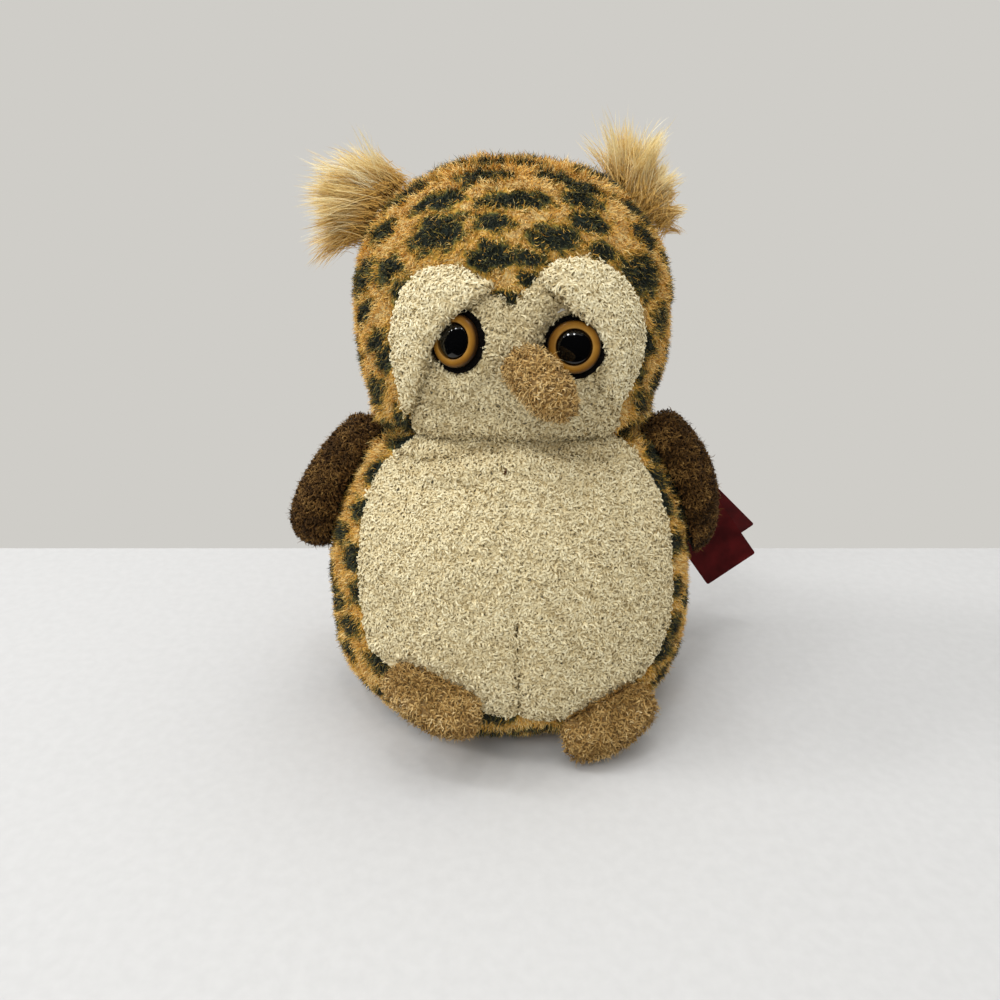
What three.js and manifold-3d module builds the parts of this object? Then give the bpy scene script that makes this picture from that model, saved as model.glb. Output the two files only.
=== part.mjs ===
// A stuffed owl that sits on its own flat bottom, in millimetres, +Z up.
// The owl faces -Y. Left and right are those of someone who looks at its face, so left is -X.
// The origin is where the toy's own axis meets the surface that it sits on.
import * as THREE from "three";
import { LoftGeometry } from "three/addons/geometries/LoftGeometry.js";
import { mergeVertices } from "three/addons/utils/BufferGeometryUtils.js";
import Module from "manifold-3d";

const wasm = await Module();
wasm.setup();

// Driving dimensions: how the toy sits, and its cloth
const LEAN_DEGREES = 8; // it leans back on its flat bottom
const CLOTH = 2.4; // plush, backing and pile
const SEAM_GAP = 0.3; // between pieces that touch
const CREAM_PROUD = 0.6; // the cream cloth has a longer pile than the printed cloth
const WING_LIFT_DEGREES = 35;
const FOOT_LIFT_DEGREES = 25;
const EAR_FOLD_DEGREES = 18;
const BEAK_LIFT_DEGREES = 20;
const OVERRUN = 10; // by which cutting tools pass what they cut

// Driving dimensions: body and head
const BODY_HALF_WIDTH = 66.5;
const BODY_FRONT = 57;
const BODY_BACK = 50;
const BODY_LEVEL = 48; // height of the widest ring
const BODY_DROP = 56; // from the widest ring down, before the bottom is cut flat
const NECK_LEVEL = 101;
const NECK_HALF_WIDTH = 45;
const HEAD_HALF_WIDTH = 55.5;
const HEAD_LEVEL = 143;
const HEAD_RISE = 48.5;
const BODY_TOP_POWER = 2;
const BODY_BOTTOM_POWER = 3.3; // full and nearly square above the bottom seam
const HEAD_TOP_POWER = 2.2;
const HEAD_BOTTOM_POWER = 2.5;

// Driving dimensions: weight in the bottom
const BAG_HALF_WIDTH = 30;
const BAG_HEIGHT = 20;

// Driving dimensions: cream face and tummy, seen from the front
const FACE_HALF_WIDTH = 42;
const FACE_HEIGHT = 56.5;
const TUMMY_HALF_WIDTH = 55;
const TUMMY_HEIGHT = 93;
const DART_WIDTH = 1.3;
const DART_DEPTH = 1.2;

// Driving dimensions: eyes
const IRIS_RADIUS = 8.2;
const IRIS_THICKNESS = 2;
const IRIS_EDGE = 1.1;
const PUPIL_RADIUS = 5.3;
const PUPIL_DOME = 2;
const PUPIL_SEAT = 0.8; // iris left under the pupil
const SHANK_RADIUS = 2;
const SHANK_LENGTH = 12;
const FELT_RADIUS = 9.7;
const FELT_THICKNESS = 1;
const WASHER_RADIUS = 7;
const WASHER_THICKNESS = 1.2;
const EYE_SINK = 2.3; // how deep the thread pulls the eye's seat in
const LEFT_EYE_LEVEL = 133.3;
const RIGHT_EYE_LEVEL = 131.4;

// Driving dimensions: brow folds
const LID_DEPTH = 12;
const LEFT_LID_PUFF = 4.6; // how far the fold stands over the face
const LEFT_LID_HALF_WIDTH = 20;
const LEFT_LID_HALF_HEIGHT = 30;
const LEFT_LID_LEVEL = 133;
const RIGHT_LID_PUFF = 4;
const RIGHT_LID_HALF_WIDTH = 21;
const RIGHT_LID_HALF_HEIGHT = 31;
const RIGHT_LID_LEVEL = 132;

// Driving dimensions: wings
const LEFT_WING_LENGTH = 53;
const RIGHT_WING_LENGTH = 57;
const WING_HALF_THICKNESS = 11.5;
const WING_HALF_WIDTH = 14;
const WING_ROOT_RADIUS = 7;
const WING_ROOT_HALF_WIDTH = 11.5;
const WING_SINK = 2.4;
const LEFT_WING_LEVEL = 101.5;
const RIGHT_WING_LEVEL = 103;

// Driving dimensions: feet
const LEFT_FOOT_LENGTH = 16;
const RIGHT_FOOT_LENGTH = 18;
const FOOT_HALF_THICKNESS = 7;
const FOOT_HALF_WIDTH = 18;
const FOOT_ROOT_RADIUS = 5.5;
const FOOT_ROOT_HALF_WIDTH = 13.5;
const FOOT_SINK = 2;
const FOOT_LIFT = 0.6; // over the surface that the toy sits on
const LEFT_FOOT_RISE = 15; // from the tummy's lower end
const RIGHT_FOOT_RISE = 6;

// Driving dimensions: beak
const BEAK_LENGTH = 27;
const BEAK_HALF_THICKNESS = 7.6;
const BEAK_HALF_WIDTH = 8.2;
const BEAK_ROOT_RADIUS = 5.6;
const BEAK_ROOT_HALF_WIDTH = 6.4;
const BEAK_SINK = 2.6;
const BEAK_LEVEL = 127;

// Driving dimensions: ear tufts
const LEFT_EAR_LENGTH = 25;
const RIGHT_EAR_LENGTH = 17;
const RIGHT_EAR_SWEEP = 17; // its fur is brushed up along the head
const EAR_HALF_THICKNESS = 7.5;
const EAR_HALF_WIDTH = 14;
const EAR_ROOT_RADIUS = 5.5;
const EAR_ROOT_HALF_WIDTH = 12.5;
const EAR_SINK = 2;
const LEFT_EAR_LEVEL = 174;
const RIGHT_EAR_LEVEL = 176.5;

// Driving dimensions: card tag and its fastener
const TAG_WIDTH = 23;
const TAG_LENGTH = 46;
const TAG_CARD = 0.6;
const TAG_CORNER = 1;
const TAG_HOLE_TO_FOLD = 5;
const TAG_HOLE_RADIUS = 1.5;
const TAG_BACK_HOLE_RADIUS = 2.4;
const PIN_LEVEL = 70;
const PIN_RADIUS = 0.6;
const PIN_BAR_RADIUS = 1;
const PIN_BAR_LENGTH = 9;
const PIN_PADDLE_RADIUS = 2.6;
const PIN_PADDLE_THICKNESS = 0.8;
const PIN_DEPTH = 7; // from the cloth's outer face to the bar behind it
const PIN_OUT = 9; // how far the loop stands off the cloth
const TAG_STAND_OFF = 14; // from the pin's hole in the cloth out to the tag's hole
const TAG_FORWARD = 0.5; // the tag hangs this far in front of the pin's hole in the cloth

const PLUSH = { roughness: 1, metalness: 0 };
const materials = {
  print: new THREE.MeshStandardMaterial({ color: "#b5803c", ...PLUSH }),
  cream: new THREE.MeshStandardMaterial({ color: "#c0b28b", ...PLUSH }),
  brown: new THREE.MeshStandardMaterial({ color: "#3f2d1a", ...PLUSH }),
  gold: new THREE.MeshStandardMaterial({ color: "#937645", ...PLUSH }),
  fur: new THREE.MeshStandardMaterial({ color: "#a8864a", ...PLUSH }),
  felt: new THREE.MeshStandardMaterial({ color: "#151413", ...PLUSH }),
  amber: new THREE.MeshStandardMaterial({ color: "#9a6d26", roughness: 0.25, metalness: 0 }),
  black: new THREE.MeshStandardMaterial({ color: "#08080a", roughness: 0.08, metalness: 0 }),
  nylon: new THREE.MeshStandardMaterial({ color: "#d6d8d8", roughness: 0.4, metalness: 0 }),
  fibre: new THREE.MeshStandardMaterial({ color: "#e9e6dd", ...PLUSH }),
  bag: new THREE.MeshStandardMaterial({ color: "#cdbf9d", ...PLUSH }),
  card: new THREE.MeshStandardMaterial({ color: "#5c1418", roughness: 0.35, metalness: 0 }),
};

const radians = THREE.MathUtils.degToRad;
const lean = radians(LEAN_DEGREES);

// The toy's own axis is upright in this group, which leans it back.
const toy = new THREE.Group();
toy.rotation.x = -lean;

// Solids and meshes

function solidOf(geometry) {
  const bare = geometry.index ? geometry.toNonIndexed() : geometry.clone();
  bare.deleteAttribute("normal");
  bare.deleteAttribute("uv");
  const merged = mergeVertices(bare);
  return new wasm.Manifold(
    new wasm.Mesh({
      numProp: 3,
      vertProperties: merged.attributes.position.array,
      triVerts: new Uint32Array(merged.index.array),
    }),
  );
}

function addPiece(name, solid, material) {
  const cut = solid.getMesh();
  const geometry = new THREE.BufferGeometry();
  geometry.setAttribute("position", new THREE.BufferAttribute(cut.vertProperties, cut.numProp));
  geometry.setIndex(new THREE.BufferAttribute(cut.triVerts, 1));
  const faceted = geometry.toNonIndexed();
  faceted.computeVertexNormals();
  const mesh = new THREE.Mesh(faceted, material);
  mesh.name = name;
  toy.add(mesh);
}

// Stuffed forms

// The height share, from the widest ring towards a pole, at which a form is as wide as the neck.
function neckShare(halfWidth, power) {
  return (1 - (NECK_HALF_WIDTH / halfWidth) ** power) ** (1 / power);
}

const body = {
  halfWidth: BODY_HALF_WIDTH,
  front: BODY_FRONT,
  back: BODY_BACK,
  level: BODY_LEVEL,
  rise: (NECK_LEVEL - BODY_LEVEL) / neckShare(BODY_HALF_WIDTH, BODY_TOP_POWER),
  drop: BODY_DROP,
  topPower: BODY_TOP_POWER,
  bottomPower: BODY_BOTTOM_POWER,
};

// The head is as deep for its width as the body, so that both cloths meet at the neck seam.
const head = {
  halfWidth: HEAD_HALF_WIDTH,
  front: (BODY_FRONT * HEAD_HALF_WIDTH) / BODY_HALF_WIDTH,
  back: (BODY_BACK * HEAD_HALF_WIDTH) / BODY_HALF_WIDTH,
  level: HEAD_LEVEL,
  rise: HEAD_RISE,
  drop: (HEAD_LEVEL - NECK_LEVEL) / neckShare(HEAD_HALF_WIDTH, HEAD_BOTTOM_POWER),
  topPower: HEAD_TOP_POWER,
  bottomPower: HEAD_BOTTOM_POWER,
};

// A ball drawn out to a form: egg-shaped in plan, a superellipse above and below the widest ring.
function formGeometry(form, grow, spokes, rings) {
  const ball = new THREE.SphereGeometry(1, spokes, rings);
  ball.rotateX(Math.PI / 2);
  const places = ball.attributes.position;
  for (let i = 0; i < places.count; i++) {
    const x = places.getX(i);
    const y = places.getY(i);
    const z = places.getZ(i);
    const power = z > 0 ? form.topPower : form.bottomPower;
    const reach = z > 0 ? form.rise : form.drop;
    const flat = Math.hypot(x, y);
    const widening = flat > 0 ? flat ** (2 / power - 1) : 0;
    const depth = y < 0 ? form.front : form.back;
    places.setXYZ(
      i,
      x * widening * (form.halfWidth + grow),
      y * widening * (depth + grow),
      form.level + Math.sign(z) * Math.abs(z) ** (2 / power) * (reach + grow),
    );
  }
  return ball;
}

const OUTER_SPOKES = 32;
const OUTER_RINGS = 18;
const INNER_SPOKES = 24;
const INNER_RINGS = 12;
const outerSolid = (form, grow) => solidOf(formGeometry(form, grow, OUTER_SPOKES, OUTER_RINGS));
const innerSolid = (form, grow) => solidOf(formGeometry(form, grow, INNER_SPOKES, INNER_RINGS));

// A spot on a form's skin: its height, its bearing round the axis from +X, and how deep it lies.
function skinSpot(form, level, bearingDegrees, sink) {
  const above = level > form.level;
  const power = above ? form.topPower : form.bottomPower;
  const reach = above ? form.rise : form.drop;
  const height = Math.abs(level - form.level) / reach;
  const ring = (1 - height ** power) ** (1 / power);
  const depth = Math.sin(radians(bearingDegrees)) < 0 ? form.front : form.back;
  const across = ring * Math.cos(radians(bearingDegrees));
  const along = ring * Math.sin(radians(bearingDegrees));
  const normal = new THREE.Vector3(
    (ring ** (power - 2) * across) / form.halfWidth,
    (ring ** (power - 2) * along) / depth,
    ((above ? 1 : -1) * height ** (power - 1)) / reach,
  ).normalize();
  const place = new THREE.Vector3(across * form.halfWidth, along * depth, level);
  place.addScaledVector(normal, -sink);
  return { place, normal };
}

// A block that holds all of the toy between two heights, straight or turned to the sitting surface.
const toyReach = 2 * (HEAD_LEVEL + HEAD_RISE + OVERRUN);
function layer(low, high, turn) {
  const block = new THREE.BoxGeometry(toyReach, toyReach, high - low);
  block.translate(0, 0, (low + high) / 2);
  return solidOf(block.rotateX(turn));
}

const underSeat = layer(-toyReach, 0, lean);
const underBase = layer(-toyReach, CLOTH + SEAM_GAP, lean);
const underFeet = layer(-toyReach, FOOT_LIFT, lean);
const baseLayer = layer(0, CLOTH, lean);
const aboveNeck = layer(NECK_LEVEL - SEAM_GAP / 2, toyReach, 0);
const belowNeck = layer(-toyReach, NECK_LEVEL + SEAM_GAP / 2, 0);

// Outlines seen from the front, cut from front to middle

// Points of an outline, each moved outwards by the same distance.
function grown(points, by) {
  return points.map((point, i) => {
    const before = points[(i + points.length - 1) % points.length];
    const after = points[(i + 1) % points.length];
    const run = after.clone().sub(before).normalize();
    return new THREE.Vector2(point.x + run.y * by, point.y - run.x * by);
  });
}

function prism(points) {
  const cut = new THREE.ExtrudeGeometry(new THREE.Shape(points), {
    depth: toyReach,
    bevelEnabled: false,
  });
  return solidOf(cut.rotateX(Math.PI / 2));
}

// Face and tummy outlines are written anticlockwise, from the right-hand end of the neck seam.
const spread = (shares, width, height, base) =>
  shares.map(([across, up]) => new THREE.Vector2(across * width, base + up * height));
const FACE_STEPS = 16;
const rightLobeShares = [
  [0.78, 0],
  [0.87, 0.22],
  [0.98, 0.42],
  [1.0, 0.62],
  [0.88, 0.84],
  [0.6, 0.99],
  [0.3, 0.965],
  [0.12, 0.84],
  [0, 0.745],
];
const leftLobeShares = [
  [0, 0.745],
  [-0.17, 0.82],
  [-0.3, 0.91],
  [-0.54, 0.955],
  [-0.77, 0.87],
  [-0.9, 0.66],
  [-0.91, 0.5],
  [-0.86, 0.3],
  [-0.74, 0],
];
const lobeOf = (shares) =>
  new THREE.SplineCurve(spread(shares, FACE_HALF_WIDTH, FACE_HEIGHT, NECK_LEVEL)).getPoints(FACE_STEPS);
const rightLobe = lobeOf(rightLobeShares);
const leftLobe = lobeOf(leftLobeShares);
const faceEnds = [
  new THREE.Vector2(leftLobe.at(-1).x, NECK_LEVEL - OVERRUN),
  new THREE.Vector2(rightLobe[0].x, NECK_LEVEL - OVERRUN),
];
const faceOutline = [...rightLobe, ...leftLobe.slice(1), ...faceEnds];

const TUMMY_STEPS = 44;
const tummyShares = [
  [0.63, 1],
  [0.79, 0.91],
  [0.91, 0.8],
  [0.975, 0.66],
  [0.995, 0.47],
  [0.985, 0.32],
  [0.92, 0.215],
  [0.8, 0.135],
  [0.58, 0.065],
  [0.35, 0.01],
  [0.1, 0.025],
  [-0.12, 0.05],
  [-0.3, 0.1],
  [-0.5, 0.165],
  [-0.72, 0.19],
  [-0.87, 0.235],
  [-0.925, 0.33],
  [-0.94, 0.47],
  [-0.935, 0.61],
  [-0.9, 0.75],
  [-0.83, 0.86],
  [-0.71, 0.94],
  [-0.6, 1],
];
const tummyCurve = new THREE.SplineCurve(
  spread(tummyShares, TUMMY_HALF_WIDTH, TUMMY_HEIGHT, NECK_LEVEL - TUMMY_HEIGHT),
).getPoints(TUMMY_STEPS);
const tummyOutline = [
  new THREE.Vector2(tummyCurve[0].x, NECK_LEVEL + OVERRUN),
  new THREE.Vector2(tummyCurve.at(-1).x, NECK_LEVEL + OVERRUN),
  ...tummyCurve.toReversed(),
];

// Limbs

// How wide a limb is along its length: its root, middle and tip values joined by a parabola.
function swell([root, middle, tip], share) {
  return (
    root * (1 - share) * (1 - 2 * share) + 4 * middle * share * (1 - share) + tip * share * (2 * share - 1)
  );
}

const LIMB_SPOKES = 14;
const LIMB_STEPS = 4;
const ROUND_STEPS = 3;
const ROUND_DEGREES = 80; // how far round its end a limb is drawn before it closes

// A limb lies in its own XZ plane and starts at its hinge, which is the Y axis. Its angles are
// measured from -Z, straight down, towards +X, straight out of the body.
function limbGeometry(limb) {
  const stations = [];
  for (let i = 0; i <= LIMB_STEPS; i++)
    stations.push({ share: (limb.roundFromShare * i) / LIMB_STEPS, taper: 1 });
  for (let i = 1; i <= ROUND_STEPS; i++) {
    const turn = radians((ROUND_DEGREES * i) / ROUND_STEPS);
    stations.push({
      share: limb.roundFromShare + (1 - limb.roundFromShare) * Math.sin(turn),
      taper: Math.cos(turn),
    });
  }
  const start = radians(limb.rootDegrees);
  const bend = radians(limb.tipDegrees - limb.rootDegrees);
  const sections = stations.map(({ share, taper }) => {
    const angle = start + bend * share;
    const centre = new THREE.Vector3(
      (limb.length / bend) * (Math.cos(start) - Math.cos(angle)),
      (limb.sweep ?? 0) * share,
      (limb.length / bend) * (Math.sin(start) - Math.sin(angle)),
    );
    const thick = limb.halfThickness * swell(limb.thicknessShares, share) * taper;
    const wide = limb.halfWidth * swell(limb.widthShares, share) * taper;
    return Array.from({ length: LIMB_SPOKES }, (_, k) => {
      const round = (2 * Math.PI * k) / LIMB_SPOKES;
      return new THREE.Vector3(
        centre.x - Math.cos(angle) * thick * Math.cos(round),
        centre.y + wide * Math.sin(round),
        centre.z - Math.sin(angle) * thick * Math.cos(round),
      );
    });
  });
  return new LoftGeometry(sections, { closed: true, capStart: true, capEnd: true });
}

// A rounded root turns in a seat of its own shape, one gap larger.
const ROOT_SPOKES = 14;
const ROOT_RINGS = 8;
function rootGeometry(limb, grow) {
  const radius = limb.rootRadius + grow;
  const ball = new THREE.SphereGeometry(1, ROOT_SPOKES, ROOT_RINGS);
  return ball.scale(radius, limb.rootHalfWidth + grow, radius);
}

// Where a limb hangs: its hinge lies along Y, and X points out of the toy.
function placing(spot, axis, outwards) {
  const along = axis.clone().normalize();
  const out = outwards.clone().addScaledVector(along, -outwards.dot(along)).normalize();
  const up = new THREE.Vector3().crossVectors(out, along);
  return new THREE.Matrix4().makeBasis(out, along, up).setPosition(spot);
}

const headSkin = outerSolid(head, CREAM_PROUD + SEAM_GAP);
const bodySkin = outerSolid(body, CREAM_PROUD + SEAM_GAP);

// The skins of head and body as a limb meets them when it is lifted by some degrees.
const RELIEF_STEPS = 4;
function metOnTheWay(limb) {
  const back = limb.placing.clone().invert();
  return Array.from({ length: RELIEF_STEPS + 1 }, (_, i) => {
    const lift = limb.leastLift + ((limb.mostLift - limb.leastLift) * i) / RELIEF_STEPS;
    const turn = limb.placing.clone().multiply(new THREE.Matrix4().makeRotationY(radians(lift)));
    const { elements } = turn.multiply(back);
    return limb.skins.map((skin) => skin.transform(elements));
  }).flat();
}

function makeLimb(limb) {
  const blade = solidOf(limbGeometry(limb).applyMatrix4(limb.placing));
  const root = solidOf(rootGeometry(limb, 0).applyMatrix4(limb.placing));
  const seat = solidOf(rootGeometry(limb, SEAM_GAP).applyMatrix4(limb.placing));
  const freed = metOnTheWay(limb).reduce((left, skin) => left.subtract(skin), blade);
  return { solid: freed.add(root).subtract(underFeet), seat };
}

// Wings, sewn on at the shoulders
const WING_SHAPE = {
  halfThickness: WING_HALF_THICKNESS,
  halfWidth: WING_HALF_WIDTH,
  rootRadius: WING_ROOT_RADIUS,
  rootHalfWidth: WING_ROOT_HALF_WIDTH,
  leastLift: 0,
  mostLift: WING_LIFT_DEGREES,
  skins: [bodySkin, headSkin],
  roundFromShare: 0.8,
  thicknessShares: [1, 1, 0.94],
  widthShares: [0.8, 1.02, 0.95],
};
const foreAndAft = new THREE.Vector3(0, 1, 0);
const sideways = new THREE.Vector3(1, 0, 0);
const leftWingSpot = skinSpot(body, LEFT_WING_LEVEL, 182, WING_SINK);
const rightWingSpot = skinSpot(body, RIGHT_WING_LEVEL, -2, WING_SINK);
const leftWing = makeLimb({
  ...WING_SHAPE,
  length: LEFT_WING_LENGTH,
  rootDegrees: 58,
  tipDegrees: 12,
  placing: placing(leftWingSpot.place, foreAndAft.clone().negate(), sideways.clone().negate()),
});
const rightWing = makeLimb({
  ...WING_SHAPE,
  length: RIGHT_WING_LENGTH,
  rootDegrees: 72,
  tipDegrees: -26,
  placing: placing(rightWingSpot.place, foreAndAft, sideways),
});

// Feet, sewn on along the tummy's lower edge
const FOOT_SHAPE = {
  halfThickness: FOOT_HALF_THICKNESS,
  halfWidth: FOOT_HALF_WIDTH,
  rootRadius: FOOT_ROOT_RADIUS,
  rootHalfWidth: FOOT_ROOT_HALF_WIDTH,
  leastLift: 0,
  mostLift: FOOT_LIFT_DEGREES,
  skins: [bodySkin],
  roundFromShare: 0.6,
  thicknessShares: [0.66, 0.95, 0.98],
  widthShares: [0.78, 1, 0.95],
};
const tummyEnd = NECK_LEVEL - TUMMY_HEIGHT;
const leftFootSpot = skinSpot(body, tummyEnd + LEFT_FOOT_RISE, -110.5, FOOT_SINK);
const rightFootSpot = skinSpot(body, tummyEnd + RIGHT_FOOT_RISE, -62, FOOT_SINK);
const leftFoot = makeLimb({
  ...FOOT_SHAPE,
  length: LEFT_FOOT_LENGTH,
  rootDegrees: 80,
  tipDegrees: 30,
  placing: placing(leftFootSpot.place, new THREE.Vector3(0.863, -0.33, -0.38), leftFootSpot.normal),
});
const rightFoot = makeLimb({
  ...FOOT_SHAPE,
  length: RIGHT_FOOT_LENGTH,
  rootDegrees: 60,
  tipDegrees: -5,
  placing: placing(rightFootSpot.place, new THREE.Vector3(0.866, 0.28, 0.413), rightFootSpot.normal),
});

// Ear tufts, sewn on along the head's side seams
const EAR_SHAPE = {
  halfThickness: EAR_HALF_THICKNESS,
  halfWidth: EAR_HALF_WIDTH,
  rootRadius: EAR_ROOT_RADIUS,
  rootHalfWidth: EAR_ROOT_HALF_WIDTH,
  leastLift: -EAR_FOLD_DEGREES,
  mostLift: EAR_FOLD_DEGREES,
  skins: [headSkin],
  roundFromShare: 0.7,
  thicknessShares: [0.7, 0.9, 0.7],
  widthShares: [0.85, 0.9, 0.55],
  rootDegrees: 92,
  tipDegrees: 84,
};
const leftEarSpot = skinSpot(head, LEFT_EAR_LEVEL, 184, EAR_SINK);
const rightEarSpot = skinSpot(head, RIGHT_EAR_LEVEL, -4, EAR_SINK);
const leftEar = makeLimb({
  ...EAR_SHAPE,
  length: LEFT_EAR_LENGTH,
  placing: placing(
    leftEarSpot.place,
    new THREE.Vector3().crossVectors(leftEarSpot.normal, foreAndAft),
    leftEarSpot.normal,
  ),
});
const rightEar = makeLimb({
  ...EAR_SHAPE,
  length: RIGHT_EAR_LENGTH,
  sweep: RIGHT_EAR_SWEEP,
  placing: placing(
    rightEarSpot.place,
    new THREE.Vector3().crossVectors(rightEarSpot.normal, foreAndAft),
    rightEarSpot.normal,
  ),
});

// Eyes

// Each eye is a domed black button in an amber ring, on a felt rim, locked by a washer behind the cloth.
const feltBack = -EYE_SINK + SEAM_GAP;
const irisBack = feltBack + FELT_THICKNESS + SEAM_GAP;
const irisFront = irisBack + IRIS_THICKNESS;
const pupilBack = irisBack + PUPIL_SEAT + SEAM_GAP;
const seatBack = -EYE_SINK - CLOTH;
const washerFront = seatBack - SEAM_GAP;
const washerBack = washerFront - WASHER_THICKNESS;
const cavityRadius = FELT_RADIUS + SEAM_GAP;
const cupRadius = cavityRadius + CLOTH / 2;
const shankHole = SHANK_RADIUS + SEAM_GAP;
const EYE_SPOKES = 28;

// A profile of radius and height, turned round the eye's axis and set in the face.
function turned(profile, placed) {
  const points = profile.map(([radius, height]) => new THREE.Vector2(radius, height));
  return solidOf(new THREE.LatheGeometry(points, EYE_SPOKES).rotateX(Math.PI / 2).applyMatrix4(placed));
}

const disc = (radius, low, high) => [
  [0, low],
  [radius, low],
  [radius, high],
  [0, high],
];
const ring = (hole, radius, low, high) => [
  [hole, low],
  [radius, low],
  [radius, high],
  [hole, high],
  [hole, low],
];

const irisProfile = [
  [shankHole, irisBack],
  [IRIS_RADIUS, irisBack],
  [IRIS_RADIUS, irisBack + IRIS_EDGE],
  [(IRIS_RADIUS + PUPIL_RADIUS) / 2, irisFront],
  [PUPIL_RADIUS + SEAM_GAP, irisFront],
  [PUPIL_RADIUS + SEAM_GAP, irisBack + PUPIL_SEAT],
  [shankHole, irisBack + PUPIL_SEAT],
  [shankHole, irisBack],
];

// The dome is an arc from the rim of the pupil to its middle.
const DOME_STEPS = 5;
const domeRadius = (PUPIL_RADIUS ** 2 + PUPIL_DOME ** 2) / (2 * PUPIL_DOME);
const domeProfile = Array.from({ length: DOME_STEPS + 1 }, (_, i) => {
  const radius = PUPIL_RADIUS * (1 - i / DOME_STEPS);
  const drop = domeRadius - Math.sqrt(domeRadius ** 2 - radius ** 2);
  return [radius, irisFront + PUPIL_DOME - drop];
});
const pupilProfile = [
  [0, pupilBack - SHANK_LENGTH],
  [SHANK_RADIUS, pupilBack - SHANK_LENGTH],
  [SHANK_RADIUS, pupilBack],
  [PUPIL_RADIUS, pupilBack],
  ...domeProfile,
];

function makeEye(level, bearingDegrees, yawDegrees, pitchDegrees) {
  const yaw = radians(yawDegrees);
  const pitch = radians(pitchDegrees);
  const gaze = new THREE.Vector3(
    Math.sin(yaw) * Math.cos(pitch),
    -Math.cos(yaw) * Math.cos(pitch),
    Math.sin(pitch),
  );
  const { place } = skinSpot(head, level, bearingDegrees, 0);
  const turn = new THREE.Quaternion().setFromUnitVectors(new THREE.Vector3(0, 0, 1), gaze);
  const placed = new THREE.Matrix4().makeRotationFromQuaternion(turn).setPosition(place);
  const wall = turned(disc(cupRadius, -EYE_SINK - SEAM_GAP, OVERRUN), placed).intersect(
    outerSolid(head, CREAM_PROUD),
  );
  return {
    felt: turned(ring(shankHole, FELT_RADIUS, feltBack, feltBack + FELT_THICKNESS), placed),
    iris: turned(irisProfile, placed),
    pupil: turned(pupilProfile, placed),
    washer: turned(ring(shankHole, WASHER_RADIUS, washerBack, washerFront), placed),
    cup: turned(disc(cupRadius, seatBack, -EYE_SINK), placed).add(wall),
    // The face's own cloth is drawn in, so none of it is left behind the seat.
    behind: turned(disc(cavityRadius, -SHANK_LENGTH, -EYE_SINK), placed),
    cavity: turned(disc(cavityRadius, -EYE_SINK, 2 * OVERRUN), placed).add(
      turned(disc(shankHole, -SHANK_LENGTH - OVERRUN, OVERRUN), placed),
    ),
    pocket: turned(disc(cupRadius + SEAM_GAP, washerBack - SEAM_GAP, OVERRUN), placed).add(
      turned(disc(shankHole, pupilBack - SHANK_LENGTH - SEAM_GAP, OVERRUN), placed),
    ),
    // Nothing that lies over the face comes closer than this to the rim, the ring and the dome.
    envelope: turned(disc(cupRadius + SEAM_GAP, seatBack - SEAM_GAP, SEAM_GAP - EYE_SINK), placed)
      .add(turned(disc(cavityRadius, -EYE_SINK, feltBack + FELT_THICKNESS + SEAM_GAP), placed))
      .add(turned(disc(IRIS_RADIUS + SEAM_GAP, -EYE_SINK, irisFront + SEAM_GAP), placed))
      .add(turned(disc(PUPIL_RADIUS + SEAM_GAP, -EYE_SINK, irisFront + PUPIL_DOME + SEAM_GAP), placed)),
  };
}

const leftEye = makeEye(LEFT_EYE_LEVEL, -108.6, -32, 5);
const rightEye = makeEye(RIGHT_EYE_LEVEL, -70.2, -5, 4.5);
const eyes = { left: leftEye, right: rightEye };

// Beak, a stuffed cone that droops to the right
const beakSpot = skinSpot(head, BEAK_LEVEL, -87.5, BEAK_SINK);
const beakAxis = new THREE.Vector3(0.7, 0, 0.71);
const beak = makeLimb({
  length: BEAK_LENGTH,
  halfThickness: BEAK_HALF_THICKNESS,
  halfWidth: BEAK_HALF_WIDTH,
  rootRadius: BEAK_ROOT_RADIUS,
  rootHalfWidth: BEAK_ROOT_HALF_WIDTH,
  leastLift: 0,
  mostLift: BEAK_LIFT_DEGREES,
  skins: [headSkin],
  roundFromShare: 0.66,
  thicknessShares: [0.7, 1, 0.72],
  widthShares: [0.8, 1, 0.72],
  rootDegrees: 72,
  tipDegrees: 18,
  placing: placing(beakSpot.place, beakAxis, foreAndAft.clone().negate()),
});

// Brow folds

// A fold is a shallow cap over the face, between the outer edge of its lobe and the fold's own line.
function makeLid(lid, lobe, foldShares, eye) {
  const spot = skinSpot(head, lid.level, lid.bearingDegrees, LID_DEPTH - lid.puff);
  const cap = new THREE.SphereGeometry(1, OUTER_SPOKES, OUTER_RINGS);
  cap.scale(lid.halfWidth, LID_DEPTH, lid.halfHeight);
  cap.rotateZ(Math.atan2(spot.normal.x, -spot.normal.y));
  cap.translate(spot.place.x, spot.place.y, spot.place.z);
  const fold = new THREE.SplineCurve(spread(foldShares, FACE_HALF_WIDTH, FACE_HEIGHT, NECK_LEVEL));
  const edge = lobe.filter((point) => point.y > fold.points.at(-1).y);
  const crescent = [...edge, ...fold.getPoints(FACE_STEPS)];
  return solidOf(cap)
    .intersect(prism(THREE.ShapeUtils.isClockWise(crescent) ? crescent.toReversed() : crescent))
    .subtract(headSkin)
    .subtract(eye.envelope);
}
const leftFoldShares = [
  [-0.25, 0.86],
  [-0.33, 0.79],
  [-0.46, 0.7],
  [-0.56, 0.57],
  [-0.6, 0.46],
  [-0.7, 0.34],
  [-0.81, 0.2],
];
const rightFoldShares = [
  [0.78, 0.3],
  [0.7, 0.4],
  [0.665, 0.5],
  [0.62, 0.62],
  [0.5, 0.71],
  [0.36, 0.8],
  [0.26, 0.89],
];
const lobeFrom = (lobe, share) => lobe.filter((point) => Math.abs(point.x) > share * FACE_HALF_WIDTH);
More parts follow.
